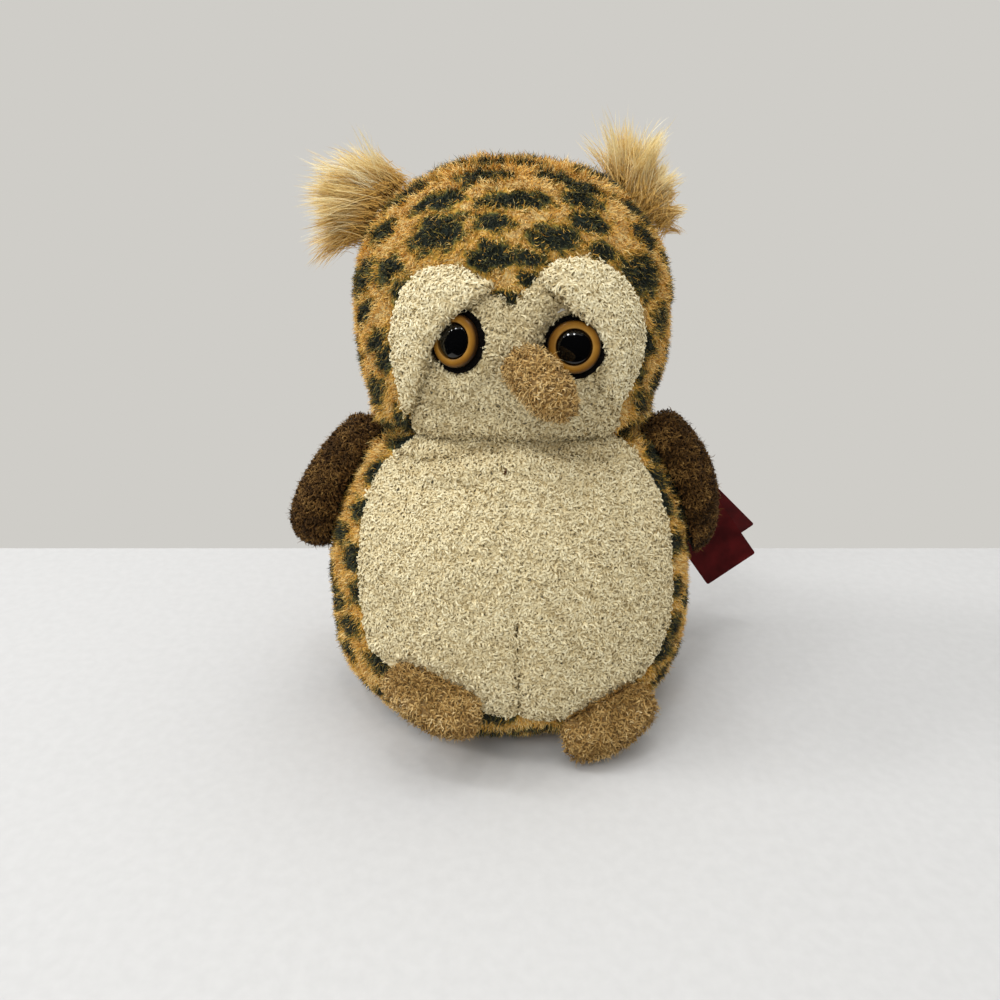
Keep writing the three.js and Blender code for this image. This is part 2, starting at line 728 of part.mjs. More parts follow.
const leftLid = makeLid(
  {
    level: LEFT_LID_LEVEL,
    bearingDegrees: -117,
    puff: LEFT_LID_PUFF,
    halfWidth: LEFT_LID_HALF_WIDTH,
    halfHeight: LEFT_LID_HALF_HEIGHT,
  },
  lobeFrom(leftLobe, 0.27).toReversed(),
  leftFoldShares,
  leftEye,
);
const rightLid = makeLid(
  {
    level: RIGHT_LID_LEVEL,
    bearingDegrees: -61,
    puff: RIGHT_LID_PUFF,
    halfWidth: RIGHT_LID_HALF_WIDTH,
    halfHeight: RIGHT_LID_HALF_HEIGHT,
  },
  lobeFrom(rightLobe, 0.27),
  rightFoldShares.toReversed(),
  rightEye,
);

// Tag fastener: a bar behind the cloth, a thin loop through it, and a paddle in front of the tag
const pinSpot = skinSpot(body, PIN_LEVEL, 34.8, 0);
const tagPlace = pinSpot.place.clone().add(new THREE.Vector3(TAG_STAND_OFF, -TAG_FORWARD, 0));
const leafFront = tagPlace.y - TAG_CARD - SEAM_GAP;
const pinRoute = [
  pinSpot.place.clone().addScaledVector(pinSpot.normal, -PIN_DEPTH),
  pinSpot.place,
  pinSpot.place.clone().addScaledVector(pinSpot.normal, PIN_OUT),
  new THREE.Vector3(tagPlace.x - PIN_OUT / 3, pinSpot.place.y + PIN_OUT, PIN_LEVEL),
  new THREE.Vector3(tagPlace.x, pinSpot.place.y + PIN_OUT * 0.7, PIN_LEVEL),
  new THREE.Vector3(tagPlace.x, leafFront - SEAM_GAP, PIN_LEVEL),
];
const PIN_SPOKES = 6;
const PIN_STEPS = 20;
const threadSection = (radius) =>
  new THREE.Shape(new THREE.EllipseCurve(0, 0, radius, radius).getPoints(PIN_SPOKES).slice(1));
const alongPin = (radius) =>
  solidOf(
    new THREE.ExtrudeGeometry(threadSection(radius), {
      steps: PIN_STEPS,
      curveSegments: 1,
      extrudePath: new THREE.CatmullRomCurve3(pinRoute),
    }),
  );
function rod(radius, length, centre, direction) {
  const turn = new THREE.Quaternion().setFromUnitVectors(foreAndAft, direction.clone().normalize());
  const placed = new THREE.Matrix4().makeRotationFromQuaternion(turn).setPosition(centre);
  return solidOf(new THREE.CylinderGeometry(radius, radius, length, EYE_SPOKES / 2).applyMatrix4(placed));
}
const barDirection = new THREE.Vector3().crossVectors(pinSpot.normal, new THREE.Vector3(0, 0, 1));
const paddleCentre = new THREE.Vector3(
  tagPlace.x,
  leafFront - SEAM_GAP - PIN_PADDLE_THICKNESS / 2,
  PIN_LEVEL,
);
const tagPin = alongPin(PIN_RADIUS)
  .add(rod(PIN_BAR_RADIUS, PIN_BAR_LENGTH, pinRoute[0], barDirection))
  .add(rod(PIN_PADDLE_RADIUS, PIN_PADDLE_THICKNESS, paddleCentre, foreAndAft));
const pinClearance = alongPin(PIN_RADIUS + SEAM_GAP).add(
  rod(PIN_BAR_RADIUS + SEAM_GAP, PIN_BAR_LENGTH + 2 * SEAM_GAP, pinRoute[0], barDirection),
);

// Tag leaves: one folded card whose back leaf has been folded a little askew
const TAG_SWING_DEGREES = 36;
const TAG_OPEN_DEGREES = 22;
const TAG_SKEW_DEGREES = 9;
const CORNER_STEPS = 4;
function leafShape(skewDegrees, holeRadius) {
  const half = TAG_WIDTH / 2;
  const low = TAG_HOLE_TO_FOLD - TAG_LENGTH;
  const slant = Math.tan(radians(skewDegrees)) * TAG_LENGTH;
  const shape = new THREE.Shape();
  shape.moveTo(-half, TAG_HOLE_TO_FOLD);
  shape.lineTo(-half + slant, low + TAG_CORNER);
  shape.quadraticCurveTo(-half + slant, low, -half + slant + TAG_CORNER, low);
  shape.lineTo(half + slant - TAG_CORNER, low);
  shape.quadraticCurveTo(half + slant, low, half + slant, low + TAG_CORNER);
  shape.lineTo(half, TAG_HOLE_TO_FOLD);
  shape.holes.push(new THREE.Path().absarc(0, 0, holeRadius, 0, 2 * Math.PI));
  return shape;
}
const leafGeometry = (skewDegrees, holeRadius) =>
  new THREE.ExtrudeGeometry(leafShape(skewDegrees, holeRadius), {
    depth: TAG_CARD,
    bevelEnabled: false,
    curveSegments: CORNER_STEPS,
  }).rotateX(Math.PI / 2);
const tagPlacing = new THREE.Matrix4().makeRotationY(radians(-TAG_SWING_DEGREES)).setPosition(tagPlace);
const frontLeaf = leafGeometry(0, TAG_HOLE_RADIUS).applyMatrix4(tagPlacing);
const backLeaf = leafGeometry(TAG_SKEW_DEGREES, TAG_BACK_HOLE_RADIUS)
  .translate(0, TAG_CARD / 2, -TAG_HOLE_TO_FOLD)
  .rotateX(radians(TAG_OPEN_DEGREES))
  .translate(0, SEAM_GAP + TAG_CARD, TAG_HOLE_TO_FOLD)
  .applyMatrix4(tagPlacing);

// Head and body, each a shell of cloth over its filling
const limbSeats = [leftWing, rightWing, leftFoot, rightFoot, leftEar, rightEar, beak].map((limb) => limb.seat);
const withoutSeats = (solid) => limbSeats.reduce((left, seat) => left.subtract(seat), solid);
const faceHole = prism(grown(faceOutline, SEAM_GAP));
const tummyHole = prism(grown(tummyOutline, SEAM_GAP));
const headInside = innerSolid(head, -CLOTH);
const bodyInside = innerSolid(body, -CLOTH);

const headCover = withoutSeats(outerSolid(head, 0).subtract(headInside).subtract(belowNeck).subtract(faceHole));
const bodyCover = withoutSeats(
  outerSolid(body, 0)
    .subtract(bodyInside)
    .subtract(aboveNeck)
    .subtract(underSeat)
    .subtract(tummyHole)
    .subtract(pinClearance),
);
const basePanel = innerSolid(body, -CLOTH - SEAM_GAP).intersect(baseLayer);

const facePatch = withoutSeats(
  outerSolid(head, CREAM_PROUD)
    .subtract(headInside)
    .intersect(prism(faceOutline))
    .subtract(belowNeck)
    .subtract(leftEye.behind)
    .subtract(rightEye.behind)
    .add(leftEye.cup)
    .add(rightEye.cup)
    .subtract(leftEye.cavity)
    .subtract(rightEye.cavity),
);

// The dart is a narrow valley down the middle of the tummy, where two halves are sewn together.
const dartShares = [
  [0.01, 0.68],
  [0.03, 0.5],
  [0.03, 0.2],
  [0.04, 0.04],
];
const dartLine = new THREE.SplineCurve(
  spread(dartShares, TUMMY_HALF_WIDTH, TUMMY_HEIGHT, NECK_LEVEL - TUMMY_HEIGHT),
).getPoints(TUMMY_STEPS / 4);
const dartEdge = (side) => dartLine.map((point) => new THREE.Vector2(point.x + (side * DART_WIDTH) / 2, point.y));
const dartBand = prism([...dartEdge(-1), ...dartEdge(1).toReversed()]);
const tummyPatch = withoutSeats(
  outerSolid(body, CREAM_PROUD)
    .subtract(bodyInside)
    .intersect(prism(tummyOutline))
    .subtract(aboveNeck)
    .subtract(underSeat)
    .subtract(dartBand.subtract(outerSolid(body, CREAM_PROUD - DART_DEPTH))),
);

const bagForm = {
  halfWidth: BAG_HALF_WIDTH,
  front: BAG_HALF_WIDTH,
  back: BAG_HALF_WIDTH,
  level: 0,
  rise: CLOTH + SEAM_GAP + BAG_HEIGHT,
  drop: BAG_HEIGHT,
  topPower: 2,
  bottomPower: 2,
};
const BAG_SPOKES = 20;
const BAG_RINGS = 12;
const bagSolid = (grow) => solidOf(formGeometry(bagForm, grow, BAG_SPOKES, BAG_RINGS).rotateX(lean));
const pelletBag = bagSolid(0).subtract(underBase);

const headStuffing = withoutSeats(
  innerSolid(head, -CLOTH - SEAM_GAP).subtract(belowNeck).subtract(leftEye.pocket).subtract(rightEye.pocket),
);
const bodyStuffing = withoutSeats(
  innerSolid(body, -CLOTH - SEAM_GAP)
    .subtract(aboveNeck)
    .subtract(underBase)
    .subtract(bagSolid(SEAM_GAP))
    .subtract(pinClearance),
);

addPiece("head_cover", headCover, materials.print);
addPiece("body_cover", bodyCover, materials.print);
addPiece("base_panel", basePanel, materials.print);
addPiece("face_patch", facePatch, materials.cream);
addPiece("tummy_patch", tummyPatch, materials.cream);
addPiece("lid_left", leftLid, materials.cream);
addPiece("lid_right", rightLid, materials.cream);
for (const [side, eye] of Object.entries(eyes)) {
  addPiece(`eye_felt_${side}`, eye.felt, materials.felt);
  addPiece(`iris_${side}`, eye.iris, materials.amber);
  addPiece(`pupil_${side}`, eye.pupil, materials.black);
  addPiece(`eye_washer_${side}`, eye.washer, materials.nylon);
}
addPiece("beak", beak.solid.subtract(rightEye.envelope), materials.gold);
addPiece("wing_left", leftWing.solid, materials.brown);
addPiece("wing_right", rightWing.solid, materials.brown);
addPiece("foot_left", leftFoot.solid, materials.gold);
addPiece("foot_right", rightFoot.solid, materials.gold);
addPiece("ear_tuft_left", leftEar.solid, materials.fur);
addPiece("ear_tuft_right", rightEar.solid, materials.fur);
addPiece("head_stuffing", headStuffing, materials.fibre);
addPiece("body_stuffing", bodyStuffing, materials.fibre);
addPiece("pellet_bag", pelletBag, materials.bag);
addPiece("tag_pin", tagPin, materials.nylon);
addPiece("tag_front_leaf", solidOf(frontLeaf), materials.card);
addPiece("tag_back_leaf", solidOf(backLeaf), materials.card);

export default toy;
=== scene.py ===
import math

import bpy
import numpy as np
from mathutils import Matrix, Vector


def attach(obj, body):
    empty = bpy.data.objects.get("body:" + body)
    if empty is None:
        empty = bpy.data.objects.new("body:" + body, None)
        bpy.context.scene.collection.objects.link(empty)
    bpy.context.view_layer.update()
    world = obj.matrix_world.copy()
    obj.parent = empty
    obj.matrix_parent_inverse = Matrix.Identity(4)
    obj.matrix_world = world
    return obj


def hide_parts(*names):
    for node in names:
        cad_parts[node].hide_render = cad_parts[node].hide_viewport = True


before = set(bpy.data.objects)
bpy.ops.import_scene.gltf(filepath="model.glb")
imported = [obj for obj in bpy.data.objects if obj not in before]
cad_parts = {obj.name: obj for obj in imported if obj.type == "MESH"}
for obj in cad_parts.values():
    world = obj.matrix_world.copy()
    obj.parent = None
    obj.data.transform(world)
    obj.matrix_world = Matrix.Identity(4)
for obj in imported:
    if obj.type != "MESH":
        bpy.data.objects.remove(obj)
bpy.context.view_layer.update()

# ---- Printed covers of head and body --------------------------------------------------------
# Two egg-shaped covers of knitted polyester plush, sewn to each other at the neck and stuffed
# tight. The pile is cut about 2 mm long and printed after cutting with rows of leopard blotches.
# Lengths here are in millimetres in the toy's own upright frame, and the toy leans back from it.

MM = 0.001
LEAN = math.radians(8)
NECK_LEVEL = 101
NECK_HALF_WIDTH = 45


def neck_share(half_width, power):
    return (1 - (NECK_HALF_WIDTH / half_width) ** power) ** (1 / power)


body = {"half_width": 66.5, "front": 57, "back": 50, "level": 48, "drop": 56, "top": 2, "bottom": 3.3}
body["rise"] = (NECK_LEVEL - body["level"]) / neck_share(body["half_width"], body["top"])
head = {"half_width": 55.5, "level": 143, "rise": 48.5, "top": 2.2, "bottom": 2.5}
head["front"] = body["front"] * head["half_width"] / body["half_width"]
head["back"] = body["back"] * head["half_width"] / body["half_width"]
head["drop"] = (head["level"] - NECK_LEVEL) / neck_share(head["half_width"], head["bottom"])

PRINT_PILE = 1.7
CREAM_SINK = 0.8
SEAM_DEPTH = 1.0
SEAM_WIDTH = 1.5
NECK_DEPTH = 1.6
NECK_WIDTH = 1.5
UNEVENNESS = 0.4
LUMP_SIZE = 34
DEEPEST = 2.6  # the filling starts below this


def unit(vectors):
    return vectors / np.maximum(np.linalg.norm(vectors, axis=-1, keepdims=True), 1e-9)


def settle(low, high, value):
    """0 below low, 1 above high, and an even S between them."""
    share = np.clip((value - low) / (high - low), 0, 1)
    return share * share * (3 - 2 * share)


def bell(distance, width):
    """1 at no distance, and next to nothing at twice the width."""
    return np.exp(-((distance / width) ** 2))


def standing(points):
    """From the toy's own frame in millimetres to the model's frame in metres."""
    x, y, z = np.moveaxis(points, -1, 0)
    leant = [x, y * math.cos(LEAN) + z * math.sin(LEAN), z * math.cos(LEAN) - y * math.sin(LEAN)]
    return MM * np.stack(leant, -1)


def powers_of(form, z):
    above = z > form["level"]
    return np.where(above, form["top"], form["bottom"]), np.where(above, form["rise"], form["drop"])


def height_over(form, points):
    """How far points stand over a form's skin, and the skin's outward direction there."""
    x, y, z = np.moveaxis(points, -1, 0)
    power, reach = powers_of(form, z)
    depth = np.where(y < 0, form["front"], form["back"])
    ring = np.maximum(np.hypot(x / form["half_width"], y / depth), 1e-6)
    lift = np.abs(z - form["level"]) / reach
    size = (ring**power + lift**power) ** (1 / power)
    sides = ring ** (power - 2)
    upward = np.sign(z - form["level"]) * lift ** (power - 1) / reach
    slope = np.stack([sides * x / form["half_width"] ** 2, sides * y / depth**2, upward], -1)
    slope = slope * (size ** (1 - power))[..., None]
    steep = np.linalg.norm(slope, axis=-1)
    return (size - 1) / steep, slope / steep[..., None]


def form_rows(form, spokes, rows, top_level, bottom_level):
    """A grid of points on a form between two heights."""

    def polar(level):
        power, reach = powers_of(form, level)
        share = min(abs(level - form["level"]) / reach, 1) ** (power / 2)
        return math.acos(share if level > form["level"] else -share)

    down = np.linspace(polar(top_level), polar(bottom_level), rows)[:, None]
    turn = np.linspace(0, 2 * math.pi, spokes, endpoint=False)[None, :]
    power, reach = powers_of(form, form["level"] + np.cos(down))
    wide = np.sin(down) ** (2 / power)
    high = form["level"] + np.sign(np.cos(down)) * np.abs(np.cos(down)) ** (2 / power) * reach
    depth = np.where(np.sin(turn) < 0, form["front"], form["back"])
    across = wide * np.cos(turn) * form["half_width"]
    return np.stack([across, wide * np.sin(turn) * depth, high + 0 * turn], -1)


def ring_at(form, level):
    """How wide a form is at a height, as a share of its greatest width."""
    power, reach = powers_of(form, level)
    return (1 - (np.abs(level - form["level"]) / reach) ** power) ** (1 / power)


def skin_spot(form, level, bearing_degrees, sink):
    """A spot on a form's skin by height and bearing, sunk by some depth, and its normal."""
    ring, bearing = ring_at(form, level), math.radians(bearing_degrees)
    depth = form["front"] if math.sin(bearing) < 0 else form["back"]
    across, deep = ring * math.cos(bearing) * form["half_width"], ring * math.sin(bearing) * depth
    place = np.array([across, deep, level])
    normal = height_over(form, place)[1]
    return place - normal * sink, normal


def on_skin(form, across, level):
    """Points on the front of a form's skin, and their normals."""
    ring = ring_at(form, level)
    deep = form["front"] * np.sqrt(np.maximum(ring**2 - (across / form["half_width"]) ** 2, 0))
    skin = np.stack([across, -deep, level], -1)
    return skin, height_over(form, skin)[1]


def spline(points, count):
    """A smooth curve through points, as count points evenly spaced along it."""
    points = np.array(points, float)
    ends = np.vstack([2 * points[0] - points[1], points, 2 * points[-1] - points[-2]])
    s = np.linspace(0, 1, 24, endpoint=False)[:, None]
    spans = [
        b + 0.5 * s * (c - a + s * (2 * a - 5 * b + 4 * c - d + s * (3 * (b - c) + d - a)))
        for a, b, c, d in zip(ends, ends[1:], ends[2:], ends[3:])
    ]
    line = np.vstack([*spans, points[-1:]])
    run = np.concatenate([[0], np.cumsum(np.linalg.norm(np.diff(line, axis=0), axis=1))])
    even = np.linspace(0, run[-1], count)
    return np.stack([np.interp(even, run, line[:, k]) for k in range(points.shape[1])], -1)


def inside(outline, points):
    """Whether points seen from the front lie inside a closed outline."""
    x, z = points[..., 0], points[..., 2]
    found = np.zeros(x.shape, bool)
    for (x1, z1), (x2, z2) in zip(outline, np.roll(outline, -1, axis=0)):
        if z1 != z2:
            found ^= ((z1 > z) != (z2 > z)) & (x < (x2 - x1) * (z - z1) / (z2 - z1) + x1)
    return found & (points[..., 1] < 0)


def away_from(line, points):
    """The least distance of points seen from the front to an open line, far for those behind."""
    x, z = points[..., 0], points[..., 2]
    least = np.full(x.shape, 1e6)
    for (x1, z1), (x2, z2) in zip(line, line[1:]):
        run_x, run_z = x2 - x1, z2 - z1
        share = ((x - x1) * run_x + (z - z1) * run_z) / max(run_x**2 + run_z**2, 1e-9)
        share = np.clip(share, 0, 1)
        least = np.minimum(least, np.hypot(x - x1 - share * run_x, z - z1 - share * run_z))
    return np.where(points[..., 1] < 0, least, 1e6)


def away_from_all(lines, points):
    return np.min([away_from(line, points) for line in lines], axis=0)


def lumps(points, seed, size):
    """Smooth uneven swelling round 0, mostly within 1, with lumps of about this size."""
    draw = np.random.default_rng(seed)
    waves = unit(draw.normal(size=(9, 3))) * (2 * math.pi / size) * draw.uniform(0.6, 1.5, (9, 1))
    return np.sin(points @ waves.T + draw.uniform(0, 2 * math.pi, 9)).sum(-1) / 3


# The cream pieces' outlines, as shares of their widths and heights, from the right-hand end of
# the neck seam round to its left-hand end.
FACE_HALF_WIDTH = 42
FACE_HEIGHT = 56.5
RIGHT_LOBE = [(0.78, 0), (0.87, 0.22), (0.98, 0.42), (1, 0.62), (0.88, 0.84), (0.6, 0.99)]
RIGHT_LOBE += [(0.3, 0.965), (0.12, 0.84), (0, 0.745)]
LEFT_LOBE = [(0, 0.745), (-0.17, 0.82), (-0.3, 0.91), (-0.54, 0.955), (-0.77, 0.87)]
LEFT_LOBE += [(-0.9, 0.66), (-0.91, 0.5), (-0.86, 0.3), (-0.74, 0)]
TUMMY_HALF_WIDTH = 55
TUMMY_HEIGHT = 93
TUMMY = [(0.63, 1), (0.79, 0.91), (0.91, 0.8), (0.975, 0.66), (0.995, 0.47), (0.985, 0.32)]
TUMMY += [(0.92, 0.215), (0.8, 0.135), (0.58, 0.065), (0.35, 0.01), (0.1, 0.025), (-0.12, 0.05)]
TUMMY += [(-0.3, 0.1), (-0.5, 0.165), (-0.72, 0.19), (-0.87, 0.235), (-0.925, 0.33), (-0.94, 0.47)]
TUMMY += [(-0.935, 0.61), (-0.9, 0.75), (-0.83, 0.86), (-0.71, 0.94), (-0.6, 1)]
TUMMY_END = NECK_LEVEL - TUMMY_HEIGHT

# The free edges of the two brow folds, from their upper ends down.
LEFT_FOLD = [(-0.18, 0.87), (-0.32, 0.81), (-0.48, 0.73), (-0.62, 0.595), (-0.685, 0.46)]
LEFT_FOLD += [(-0.75, 0.33), (-0.82, 0.17)]
RIGHT_FOLD = [(0.24, 0.92), (0.36, 0.84), (0.51, 0.74), (0.65, 0.64), (0.69, 0.5), (0.695, 0.39)]
RIGHT_FOLD += [(0.75, 0.26)]
LID_STEPS = 56
LIP_OVERHANG = 0.45  # of a fold's puff
SLIT_GAP = 1.9  # from a fold's rolled edge to the slit beside it


def on_face(shares):
    return np.array(shares) * (FACE_HALF_WIDTH, FACE_HEIGHT) + (0, NECK_LEVEL)


right_lobe = spline(on_face(RIGHT_LOBE), 60)
left_lobe = spline(on_face(LEFT_LOBE), 60)
face_line = np.vstack([right_lobe, left_lobe[1:]])
tummy_line = spline(np.array(TUMMY) * (TUMMY_HALF_WIDTH, TUMMY_HEIGHT) + (0, TUMMY_END), 130)
past_neck = np.array((0, 9))
outlines = {
    "head": (np.vstack([face_line, face_line[-1] - past_neck, face_line[0] - past_neck]), face_line),
    "body": (np.vstack([tummy_line, tummy_line[-1] + past_neck, tummy_line[0] + past_neck]), tummy_line),
}


def lid_lines(fold, lobe):
    """A brow fold's free edge, its seam on the lobe, and the way from the seam to the eye."""
    fold_line = spline(on_face(fold), LID_STEPS)
    first, last = (np.argmin(np.linalg.norm(lobe - on_face(end), axis=1)) for end in (fold[0], fold[-1]))
    seam_line = spline(lobe[first : last + 1 : 3], LID_STEPS)
    return fold_line, seam_line, unit(fold_line - seam_line)


# Each brow fold: its free edge, its lobe, how far it is puffed up, and how pale its terry is. The paleness
# is painted light: the folds are painted paler than the face, and the right fold paler than the left.
lids = {"left": (LEFT_FOLD, left_lobe, 4.3, 0.7), "right": (RIGHT_FOLD, right_lobe[::-1], 4.4, 1.0)}
slits = []  # the shadowed lines where the folds' rolled edges meet the face
for fold, lobe, puff, _ in lids.values():
    fold_line, _, towards_eye = lid_lines(fold, lobe)
    slits.append((fold_line + (LIP_OVERHANG * puff + SLIT_GAP) * towards_eye)[::3])

# A dart runs up the middle of the tummy, a short pleat runs down from the chin, and the cloth
# creases where the chin presses on it.
dart_line = spline([(2.4, 9), (1.8, 28), (1.6, 46)], 20)
pleat_line = spline([(-2.2, 92.6), (-2.4, 96.5), (-2.6, 100.5)], 12)
left_fold = spline([(-36, 94), (-24, 95), (-13, 96.8), (-5, 99)], 16)
right_fold = spline([(8, 98.8), (15, 97.2), (25, 95), (33, 94.5)], 16)
creases = {
    "body": [
        (dart_line, 1.8, 1.3), (dart_line, 0.9, 6), (pleat_line, 1.2, 1.1), (pleat_line, 0.6, 4),
        (spline([(0.4, 46), (0, 62), (-1.6, 84)], 12), 0.7, 2.4),
        (left_fold, 3.4, 2.3), (right_fold, 2.6, 2.1),
        (spline([(-33, 90.5), (-24, 91), (-15, 92)], 12), -0.9, 1.8),
        (spline([(-31, 87), (-22, 87), (-13, 88)], 12), 1.1, 1.8),
        (spline([(34, 91), (25, 91), (15, 92.5)], 12), -0.6, 2),
    ],
    "head": [
        (spline([(30.6, 126), (32.2, 121), (34.2, 116.5)], 10), 1.6, 1.1),
        (spline([(-27, 106), (-14, 108.5), (0, 108), (16, 107.5)], 12), 0.8, 2.6),
        (slits[0], 1.5, 1.3), (slits[1], 1.5, 1.3),
    ],
}  # fmt: skip
CHIN_SWELL = 1.5
CHIN_OFF_NECK = 5.5
CHIN_SPREAD = 2.8

# Where each eye is pulled into the face, and the way that it looks.
EYE_SINK = 2.3
FELT_RADIUS = 9.7


def eye_frame(level, bearing, yaw_degrees, pitch_degrees):
    yaw, pitch = math.radians(yaw_degrees), math.radians(pitch_degrees)
    flat = math.cos(pitch)
    gaze = np.array([math.sin(yaw) * flat, -math.cos(yaw) * flat, math.sin(pitch)])
    return skin_spot(head, level, bearing, 0)[0], gaze


eyes = {"left": eye_frame(133.3, -108.6, -32, 5), "right": eye_frame(131.4, -70.2, -5, 4.5)}


def drawn_in(points):
    """Cloth round each eye follows the flat seat that the eye's shank pulls in."""
    for place, gaze in eyes.values():
        out = (points - place) @ gaze
        across = np.linalg.norm(points - place - out[..., None] * gaze, axis=-1)
        seat = -EYE_SINK - 0.5
        want = seat + (out - seat) * settle(FELT_RADIUS + 0.3, FELT_RADIUS + 5, across)
        points = points + np.where(np.abs(out) < 14, want - out, 0)[..., None] * gaze
    return points


def cloth_rows(part, form, rows, spokes, top_level, bottom_level):
    """The cloth under the pile: points, and which of them are cream."""
    points = form_rows(form, spokes, rows, top_level, bottom_level)
    out = height_over(form, points)[1]
    outline, line = outlines[part]
    cream = inside(outline, points)
    sink = np.where(cream, CREAM_SINK, PRINT_PILE)
    sink = sink + SEAM_DEPTH * bell(away_from(line, points), SEAM_WIDTH)
    from_neck = np.abs(points[..., 2] - NECK_LEVEL)
    sink = sink + NECK_DEPTH * bell(from_neck, NECK_WIDTH)
    sink = sink - CHIN_SWELL * bell(from_neck - CHIN_OFF_NECK, CHIN_SPREAD)
    for crease, depth, spread in creases[part]:
        sink = sink + depth * bell(away_from(crease, points), spread)
    sink = np.minimum(sink - UNEVENNESS * lumps(points, 3, LUMP_SIZE), DEEPEST)
    points = points - out * sink[..., None]
    if part == "head":
        points = drawn_in(points)
    return points, cream


def round_faces(rows, spokes):
    """The four-cornered faces of a grid that closes round on itself."""
    r, s = np.meshgrid(np.arange(rows - 1), np.arange(spokes), indexing="ij")
    a, b = r * spokes + s, r * spokes + (s + 1) % spokes
    return np.stack([a, a + spokes, b + spokes, b], -1).reshape(-1, 4)


def normals_of(points, faces):
    first, second = points[faces[:, 2]] - points[faces[:, 0]], points[faces[:, 3]] - points[faces[:, 1]]
    cross = np.cross(first, second)
    total = np.zeros_like(points)
    for corner in range(4):
        np.add.at(total, faces[:, corner], cross)
    return unit(total)


def make_object(name, places, face_sizes, corners, material, attributes, smooth):
    mesh = bpy.data.meshes.new(name)
    mesh.vertices.add(len(places))
    mesh.vertices.foreach_set("co", places.astype(np.float32).ravel())
    mesh.loops.add(len(corners))
    mesh.loops.foreach_set("vertex_index", corners.astype(np.int32))
    mesh.polygons.add(len(face_sizes))
    starts = np.concatenate([[0], np.cumsum(face_sizes)[:-1]])
    mesh.polygons.foreach_set("loop_start", starts.astype(np.int32))
    mesh.update(calc_edges=True)
    mesh.polygons.foreach_set("use_smooth", np.full(len(face_sizes), smooth))
    for key, values in attributes.items():
        kind, field = ("FLOAT", "value") if values.ndim == 1 else ("FLOAT_VECTOR", "vector")
        added = mesh.attributes.new(key, kind, "POINT")
        added.data.foreach_set(field, values.astype(np.float32).ravel())
    mesh.materials.append(material)
    made = bpy.data.objects.new(name, mesh)
    bpy.context.scene.collection.objects.link(made)
    return made


def cloth_object(name, points, faces, material, dye, ends=()):
    """The cloth itself, from points in the toy's frame. ends are rings of points to close."""
    loops = np.concatenate([faces.ravel(), *ends])
    used, numbers = np.unique(loops, return_inverse=True)
    places = standing(points[used])
    places[:, 2] = np.maximum(places[:, 2], 0)
    sizes = np.array([4] * len(faces) + [len(end) for end in ends])
    return make_object(name, places, sizes, numbers, material, {"dye": dye[used]}, True)


def scattered(points, faces, per_square_mm, draw):
    """Roots spread at random over the faces, with their normals."""
    normals = normals_of(points, faces)
    halves = np.vstack([faces[:, [0, 1, 2]], faces[:, [0, 2, 3]]])
    a, b, c = (points[halves[:, k]] for k in range(3))
    area = np.linalg.norm(np.cross(b - a, c - a), axis=1) / 2
    chosen = halves[draw.choice(len(halves), int(area.sum() * per_square_mm), p=area / area.sum())]
    share = np.sort(draw.random((len(chosen), 2)), axis=1)
    share = np.stack([share[:, 0], share[:, 1] - share[:, 0], 1 - share[:, 1]], -1)[..., None]
    return (points[chosen] * share).sum(1), unit((normals[chosen] * share).sum(1))


def pile_object(named, lines, half_width, out, dye, tone, full_height):
    """Fibres as ribbons that end in a point. lines are their middles from the root on. Each one
    lies as flat to the cloth as it can. named is the pile's name, cloth and material."""
    name, cloth, material = named
    count, steps = lines.shape[:2]
    run = unit(lines[:, -1] - lines[:, 0] + np.array([0, 0, 1e-6]))
    side = unit(np.cross(run, out) + 0.15 * np.random.default_rng(count).normal(size=out.shape))
    taper = np.linspace(1, 0.55, steps - 1)[None, :, None]
    reach = side[:, None] * taper * np.reshape(half_width, (-1, 1, 1))
    pairs = np.stack([lines[:, :-1] - reach, lines[:, :-1] + reach], 2).reshape(count, -1, 3)
    places = standing(np.concatenate([pairs, lines[:, -1:]], 1))
    places[..., 2] = np.maximum(places[..., 2], 0.15 * MM)
    each = 2 * steps - 1
    base = (np.arange(count) * each)[:, None]
    quads = [base + np.array([2 * k, 2 * k + 1, 2 * k + 3, 2 * k + 2]) for k in range(steps - 2)]
    tips = base + np.array([each - 3, each - 2, each - 1])
    corners = np.concatenate([*[quad.ravel() for quad in quads], tips.ravel()])
    sizes = np.concatenate([np.full(count * (steps - 2), 4), np.full(count, 3)])
    # Height over the root, as a share of full_height; the materials paint shade where it is low.
    height = np.clip(((lines - lines[:, :1]) * out[:, None]).sum(-1) / full_height, 0, 1)
    across = np.append(np.tile([-1.0, 1.0], steps - 1), 0.0)
    attributes = {
        "height": np.concatenate([np.repeat(height[:, :-1], 2, axis=1), height[:, -1:]], 1).ravel(),
        "dye": np.repeat(dye, each),
        "tone": np.repeat(tone, each),
    }
    made = make_object(name, places.reshape(-1, 3), sizes, corners, material, attributes, False)
    columns = math.ceil(math.sqrt(count))
    cell = np.stack([np.arange(count) % columns, np.arange(count) // columns], -1)[:, None]
    along = np.append(np.repeat(np.arange(steps - 1) / (steps - 1), 2), 1.0)
    spot = np.stack([0.5 + 0.3 * across, 0.1 + 0.8 * along], -1)[None]
    on_map = ((cell + spot) / columns).reshape(-1, 2)[corners]
    made.data.uv_layers.new(name="OFBake").data.foreach_set("uv", on_map.astype(np.float32).ravel())
    made.parent = cloth
    return made


def hanging(out):
    """Down along the cloth."""
    return unit(np.array([0.0, 0, -1]) + out * out[:, 2:])


